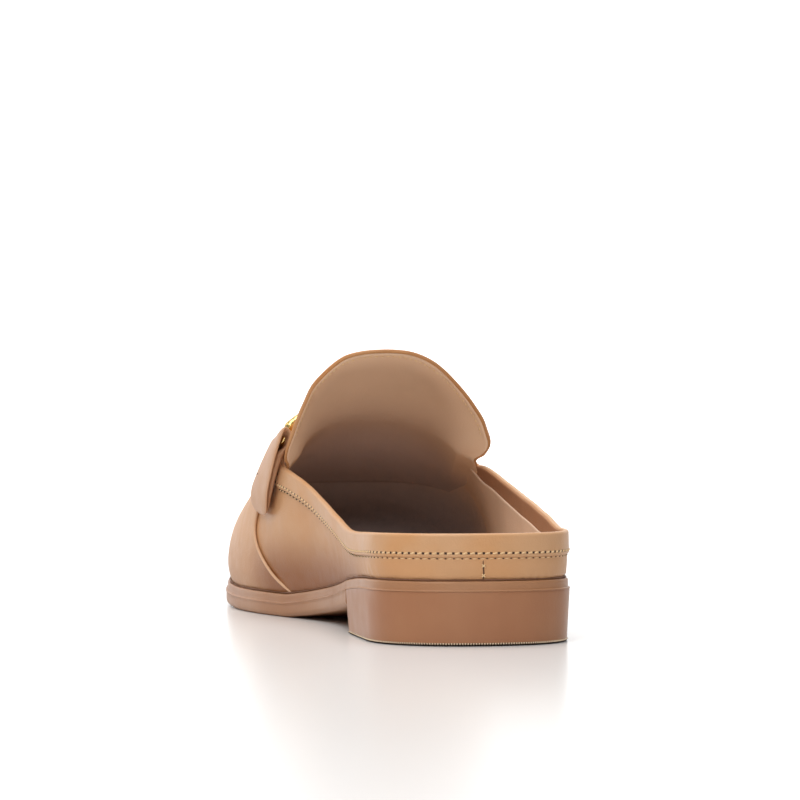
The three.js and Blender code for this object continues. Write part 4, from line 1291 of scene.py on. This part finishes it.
# Painted highlight on the tooth tips and painted shade between them; below, a near-black band is a painted
# shadow at the foot
tooth = run_field.wave(RIB_PITCH).step(0.2, 0.3)
tooth_light_and_shade = heel_rubber.blend(tooth, linear(92, 62, 46), linear(240, 214, 180))
heel_rubber.toned(tooth_light_and_shade, height_field.step(1.1, 0.95))
heel_rubber.toned(linear(46, 32, 25), height_field.step(0.66, 0.54))
heel_piece().piece("heel_block", heel_rubber.material, "heel", ("heel",))

# %% [markdown]
# ## Sock
# The foot lies on a leather sock over the insole board, a little crowned and turned down
# at its edge. A softer pad under the heel is stitched down, and it is left bare.

# %% Sock and heel pad
SOCK_INSET = UPPER_SETBACK + WALL + 0.6
SOCK_THICKNESS = 1.9


def over_sole(rise):
    """The sole's top raised by rise, as a height for a ring."""
    return lambda y: sole_top(y) + rise


sock_rings = [(SOCK_INSET, over_sole(0.3)), (SOCK_INSET, over_sole(SOCK_THICKNESS))]
for a in np.linspace(0.2, 1, 5) * np.pi / 2:
    round_in = SOCK_INSET + 0.8 * (1 - np.cos(a))
    sock_rings.append((round_in, over_sole(SOCK_THICKNESS + 0.6 * np.sin(a))))
moulding(side_w[::2], sock_rings, crown=0.35).piece("sock", sock_leather.material, "insole", ("insole",))


def heel_pad():
    """An oval of 44 by 62 mm: rise is 1 - r^6 of the share r from its middle."""
    angle = np.linspace(0, 2 * np.pi, 96, endpoint=False)[None, :]
    r = np.sin(np.linspace(0, 1, 14) * np.pi / 2)[:, None]
    x = 0.2 + 22 * r * np.cos(angle)
    y = 40 + 31 * r * np.sin(angle)
    base = sole_top(y) + 2.6
    dome = np.stack([x, y, base + 0.2 + 1.1 * np.sqrt(np.clip(1 - r**8, 0, 1)) + 0 * angle], -1)
    floor = np.stack([x, y, base + 0 * angle], -1)
    return Surface().add(dome, wrap=True).add(floor, wrap=True, flip=True)


pad = heel_pad()
pad.add(np.stack([pad.points[0].reshape(14, 96, 3)[-1], pad.points[1].reshape(14, 96, 3)[-1]]), wrap=True)
pad.piece("heel_pad", sock_leather.material, "insole")

# %% [markdown]
# ## Side seam
# Below each tab a raised seam runs down the vamp's rear edge to the sole. It is a thin
# round bead along that edge, as a piping that was stitched in with the seam.

# %% Side seam beads
seam_t = np.linspace(0.0, 0.3, 60)
seams = Surface()
for inner in (True, False):
    u = vamp_start(seam_t, inner)
    path = skin(u, seam_t, -VAMP_STEP + 0.15 + tuck(u, seam_t, 1.3, 7.0))
    seams.add(sweep(path, 0.48, skin(u, seam_t, -3.0) - path, sides=10), wrap=True)
# The bead is real; its paler leather is a painted highlight along the raised seam
seams.piece("side_seams", seam_highlight_leather.material, "upper")

# %% [markdown]
# ## Stitches
# A stitch is a short plump thread that dives into the leather at both ends. One row is a
# path, a pitch and a length. All stitches of a row are made at once: six points round,
# seven rings along, with the radius and the height above the leather going as a sine.
# The rows are two round the collar, one on the tongue's edge, and a tack on each tab.

# %% Stitch rows
thread = Finish("pale_thread", (240, 212, 168), Roughness=0.6)
thread.set("Base Color", thread.blend(thread.noise(0.0006, 2.0), thread.base, linear(220, 178, 124)))
thread.set("Normal", thread.bump(thread.noise(0.00025, 1.0), 0.00004))
dark_thread = Finish("dark_thread", (92, 60, 40), Roughness=0.7)
fibres = dark_thread.noise(0.0006, 2.0)
dark_thread.set("Base Color", dark_thread.blend(fibres, dark_thread.base, linear(60, 38, 26)))


def stitches(start, end, out, size, lift=0.12):
    """Threads from start to end, one for each pair: radius size, raised along out."""
    s = np.array([0, 0.04, 0.2, 0.5, 0.8, 0.96, 1.0])[None, :, None]
    width = size * np.array([0, 0.55, 0.95, 1.0, 0.95, 0.55, 0])[None, :, None, None]
    ahead = unit(end - start)
    side = unit(np.cross(ahead, out))
    middle = mix(start[:, None], end[:, None], s) + out[:, None] * (lift * np.sin(np.pi * s) - size * 0.35)
    angle = np.arange(6) * np.pi / 3
    ring = np.cos(angle)[None, :, None] * side[:, None] + np.sin(angle)[None, :, None] * out[:, None]
    return middle[:, :, None] + width * ring[:, None]


def at_run(at, run, values):
    """Values of a path's points, read at given lengths along it."""
    return np.stack([np.interp(at, run, values[:, k]) for k in range(3)], -1)


def stitch_row(path, out, pitch, length, size, phase=0.0, slant=0.0, lift=0.12):
    """Stitches along a path at a pitch, each turned by slant across the row."""
    run = run_along(path)
    starts = np.arange(phase % pitch, run[-1] - length, pitch) + (pitch - length) / 2
    a, b = at_run(starts, run, path), at_run(starts + length, run, path)
    normal = unit(at_run(starts + length / 2, run, out))
    across = unit(np.cross(b - a, normal))
    return stitches(a + across * slant, b - across * slant, normal, size, lift)


def add_many(surface, grids):
    """Adds every stitch of a stack of grids, whose rings close round."""
    for grid in grids:
        surface.add(grid, wrap=True)
    return surface


def collar_row(drop, inset, last_y=150.0):
    """Path and outward direction of a row that follows the collar at a drop below it."""
    keep = fold_y < last_y
    u = fold_u[keep]
    t = reach_t(u, top_line, drop, inset, 0.93)
    path = skin(u, t, inset)
    return path, unit(skin(u, t, inset - 2.0) - path)


LOW_PITCH = 2.5
rows = Surface()
path, out = collar_row(STITCH_DROP, -BAND_STEP, 143.0)
start_run = fold_run[fold_y < 143.0][0]
add_many(rows, stitch_row(path, out, PITCH, 1.6, 0.27, phase=-start_run, slant=0.2))
path, out = collar_row(LOW_STITCH_DROP, -0.3, 141.0)
add_many(rows, stitch_row(path, out, LOW_PITCH, 1.5, 0.21, slant=0.1, lift=0.1))
rows.piece("collar_stitches", thread.material, "upper")

tacks = Surface()
for inner in (True, False):
    across = np.linspace(0.52, 0.86, 12)
    tack_path, tack_over = (tab_point(inner, np.full(12, 0.36), across, rise) for rise in (3.5, 4.5))
    add_many(tacks, stitch_row(tack_path, unit(tack_over - tack_path), 1.6, 1.1, 0.2, lift=0.1))
tacks.piece("tab_stitches", dark_thread.material, "strap_tab")

edge_path, edge_over = (row[14:-14] for row in tongue_row)
edge_rows = add_many(Surface(), stitch_row(edge_path, unit(edge_over - edge_path), 1.9, 1.25, 0.2))
edge_rows.piece("tongue_stitches", thread.material, "tongue")

# Painted shade: small dark beads sit in the gaps of the lower row, for the shade in its needle holes
hole_shades = Surface()
run = run_along(path)
marks = np.arange(0, run[-1], LOW_PITCH)
spot, spot_out = at_run(marks, run, path), unit(at_run(marks, run, out))
half_hole = 0.42 * unit(at_run(marks + 0.2, run, path) - spot)
add_many(hole_shades, stitches(spot - half_hole, spot + half_hole, spot_out, 0.26, lift=0.08))
hole_shades.piece("lower_row_hole_shades", dark_thread.material, "upper")

# %% [markdown]
# ## Back seam
# The quarters meet at the back in a closed seam: a thin dark line from the fold to the
# sole, with two cross stitches that hold the parts before the last is pulled. Where the
# upper meets the sole, a thin dark cord of uneven width is painted shadow along the joint.

# %% Back seam and painted joint shadow
seam_z = np.linspace(sole_top(0) + 0.2, BACK_RISE + sole_top(0) - BAND_HEIGHT + 0.9, 24)
seam_path_t = np.array([float(reach_t(np.array(0.0), flat_line(z))) for z in seam_z])
seam_inset = tuck(0.0, seam_path_t, 0.6, 1.6) - 0.4 * np.sin(np.pi * np.linspace(0, 1, 24)) + 0.06
seam_path = skin(np.zeros(24), seam_path_t, seam_inset)
seam_path[:, 0] += 0.12 * np.sin(np.linspace(0, 7, 24))
to_back = np.array([0.0, -1.0, 0.0])
back_thread = sweep(seam_path, 0.2, np.broadcast_to(to_back, seam_path.shape), sides=8)
back = Surface().add(back_thread, wrap=True)
back.piece("back_seam", dark_thread.material, "upper")
cross = Surface()
for z in (24.1, 21.2):
    t = reach_t(np.array(0.0), flat_line(z))
    centre = skin(np.array(0.0), t, -0.56)
    arms = np.array([[0.55, 0, 0.5], [0.55, 0, -0.5]])
    facing_back = np.broadcast_to(to_back, (2, 3))
    add_many(cross, stitches(centre - arms, centre + arms, facing_back, 0.2, lift=0.2))
cross.piece("cross_stitches", thread.material, "upper")

# Painted shadow: a thin dark cord of uneven width along the joint of upper and sole
joint_shadow = Finish("joint_shadow_line", (122, 82, 56), Roughness=0.65)
joint_shadow_u = even_walk(-0.999, 0, 1.2)
joint_shadow_run = run_of(joint_shadow_u)
uneven = 0.5 + 0.25 * np.sin(joint_shadow_run / 5.3) + 0.25 * np.sin(joint_shadow_run / 1.9 + np.sin(joint_shadow_run / 11))
joint_shadow_path = skin(joint_shadow_u, 0.0 * joint_shadow_u, -0.12 + 0.25 * (1 - uneven)) + [0, 0, 0.12]
upright = np.broadcast_to([0.0, 0.0, 1.0], joint_shadow_path.shape)
joint_shadow_line = Surface().add(sweep(joint_shadow_path, 0.12 + 0.22 * uneven, upright, True, 8), wrap=True)
joint_shadow_line.piece("joint_shadow_line", joint_shadow.material, "upper")

# %% [markdown]
# ## Stage, light and camera
# The shoe stands on a plain white sweep that curves up behind it, and whose far part glows
# so that no horizon shows. A wide soft light behind the heel and to the left models the
# leather, one behind the camera fills, one at the left lights the inner side, and one above
# lights the sock. The camera stands behind the heel, ten degrees to its inner side, close
# to the ground, with a long lens.

# %% Stage
SWEEP_START, SWEEP_RADIUS = 1.6, 0.6  # metres: where the paper leaves the floor, and its bend
bend = np.linspace(0, np.pi / 2, 12)[1:]
floor_y = np.concatenate([np.linspace(-2.5, SWEEP_START, 12), SWEEP_START + SWEEP_RADIUS * np.sin(bend), [2.2]])
floor_z = np.concatenate([np.zeros(12), SWEEP_RADIUS * (1 - np.cos(bend)), [2.6]])
floor_x = np.linspace(-2.6, 2.6, 9)
columns = np.broadcast_arrays(floor_x[None], floor_y[:, None], floor_z[:, None])
points = np.stack(columns, -1)
sweep_mesh = bpy.data.meshes.new("white_sweep")
sweep_mesh.from_pydata(points.reshape(-1, 3).tolist(), [], grid_quads(24, 9).tolist())
sweep_mesh.polygons.foreach_set("use_smooth", np.full(len(sweep_mesh.polygons), True))
paper = Finish("white_paper", (229, 229, 229), Roughness=0.24, Specular_IOR_Level=0.42, Emission_Strength=0.8)
glow = paper.blend(paper.object_axis(1).step(0.16, 0.9), linear(0, 0, 0), linear(255, 255, 255))
paper.set("Emission Color", glow)
sweep_mesh.materials.append(paper.material)
white_sweep = bpy.data.objects.new("white_sweep", sweep_mesh)
bpy.context.scene.collection.objects.link(white_sweep)
print("paper sweep:", len(sweep_mesh.polygons), "faces")

# %% Light and camera
world = bpy.data.worlds.new("white_room")
world.use_nodes = True
world.node_tree.nodes["Background"].inputs["Color"].default_value = (1.0, 1.0, 1.0, 1.0)
world.node_tree.nodes["Background"].inputs["Strength"].default_value = 0.3
bpy.context.scene.world = world
bpy.context.scene.view_settings.view_transform = "Standard"


def softbox(name, place, target, size, power, colour=(1.0, 1.0, 1.0)):
    """A square area light at place that faces target."""
    data = bpy.data.lights.new(name, "AREA")
    data.shape, data.size, data.energy, data.color = "SQUARE", size, power, colour
    lamp = bpy.data.objects.new(name, data)
    lamp.location = place
    lamp.rotation_euler = (Vector(target) - Vector(place)).to_track_quat("-Z", "Y").to_euler()
    bpy.context.scene.collection.objects.link(lamp)


softbox("key_light", (-0.7, -1.1, 1.4), (0, -0.05, 0.04), 0.9, 13.5, (1.0, 0.985, 0.95))
softbox("fill_light", (-0.2, -2.3, 0.5), (0, 0, 0.05), 0.8, 4)
softbox("side_light", (-1.3, 0.3, 1.2), (0, 0, 0.03), 0.7, 3.0, (1.0, 0.95, 0.9))
softbox("top_light", (0.0, 0.0, 1.6), (0, 0, 0), 1.2, 18)
print("lights:", [light.name for light in bpy.data.lights])

camera_data = bpy.data.cameras.new("photo_camera")
camera_data.lens, camera_data.sensor_width = 226.1, 36
camera_data.clip_start, camera_data.clip_end = 0.1, 20
camera = bpy.data.objects.new("photo_camera", camera_data)
camera.location = (-0.2801, -1.6008, 0.1075)
yaw, pitch = np.radians(10), np.radians(1.288)
ahead = Vector((np.sin(yaw) * np.cos(pitch), np.cos(yaw) * np.cos(pitch), -np.sin(pitch)))
camera.rotation_euler = ahead.to_track_quat("-Z", "Y").to_euler()
bpy.context.scene.collection.objects.link(camera)
bpy.context.scene.camera = camera
print(f"camera {Vector(camera.location).length:.2f} m away, lens {camera_data.lens:.0f} mm")
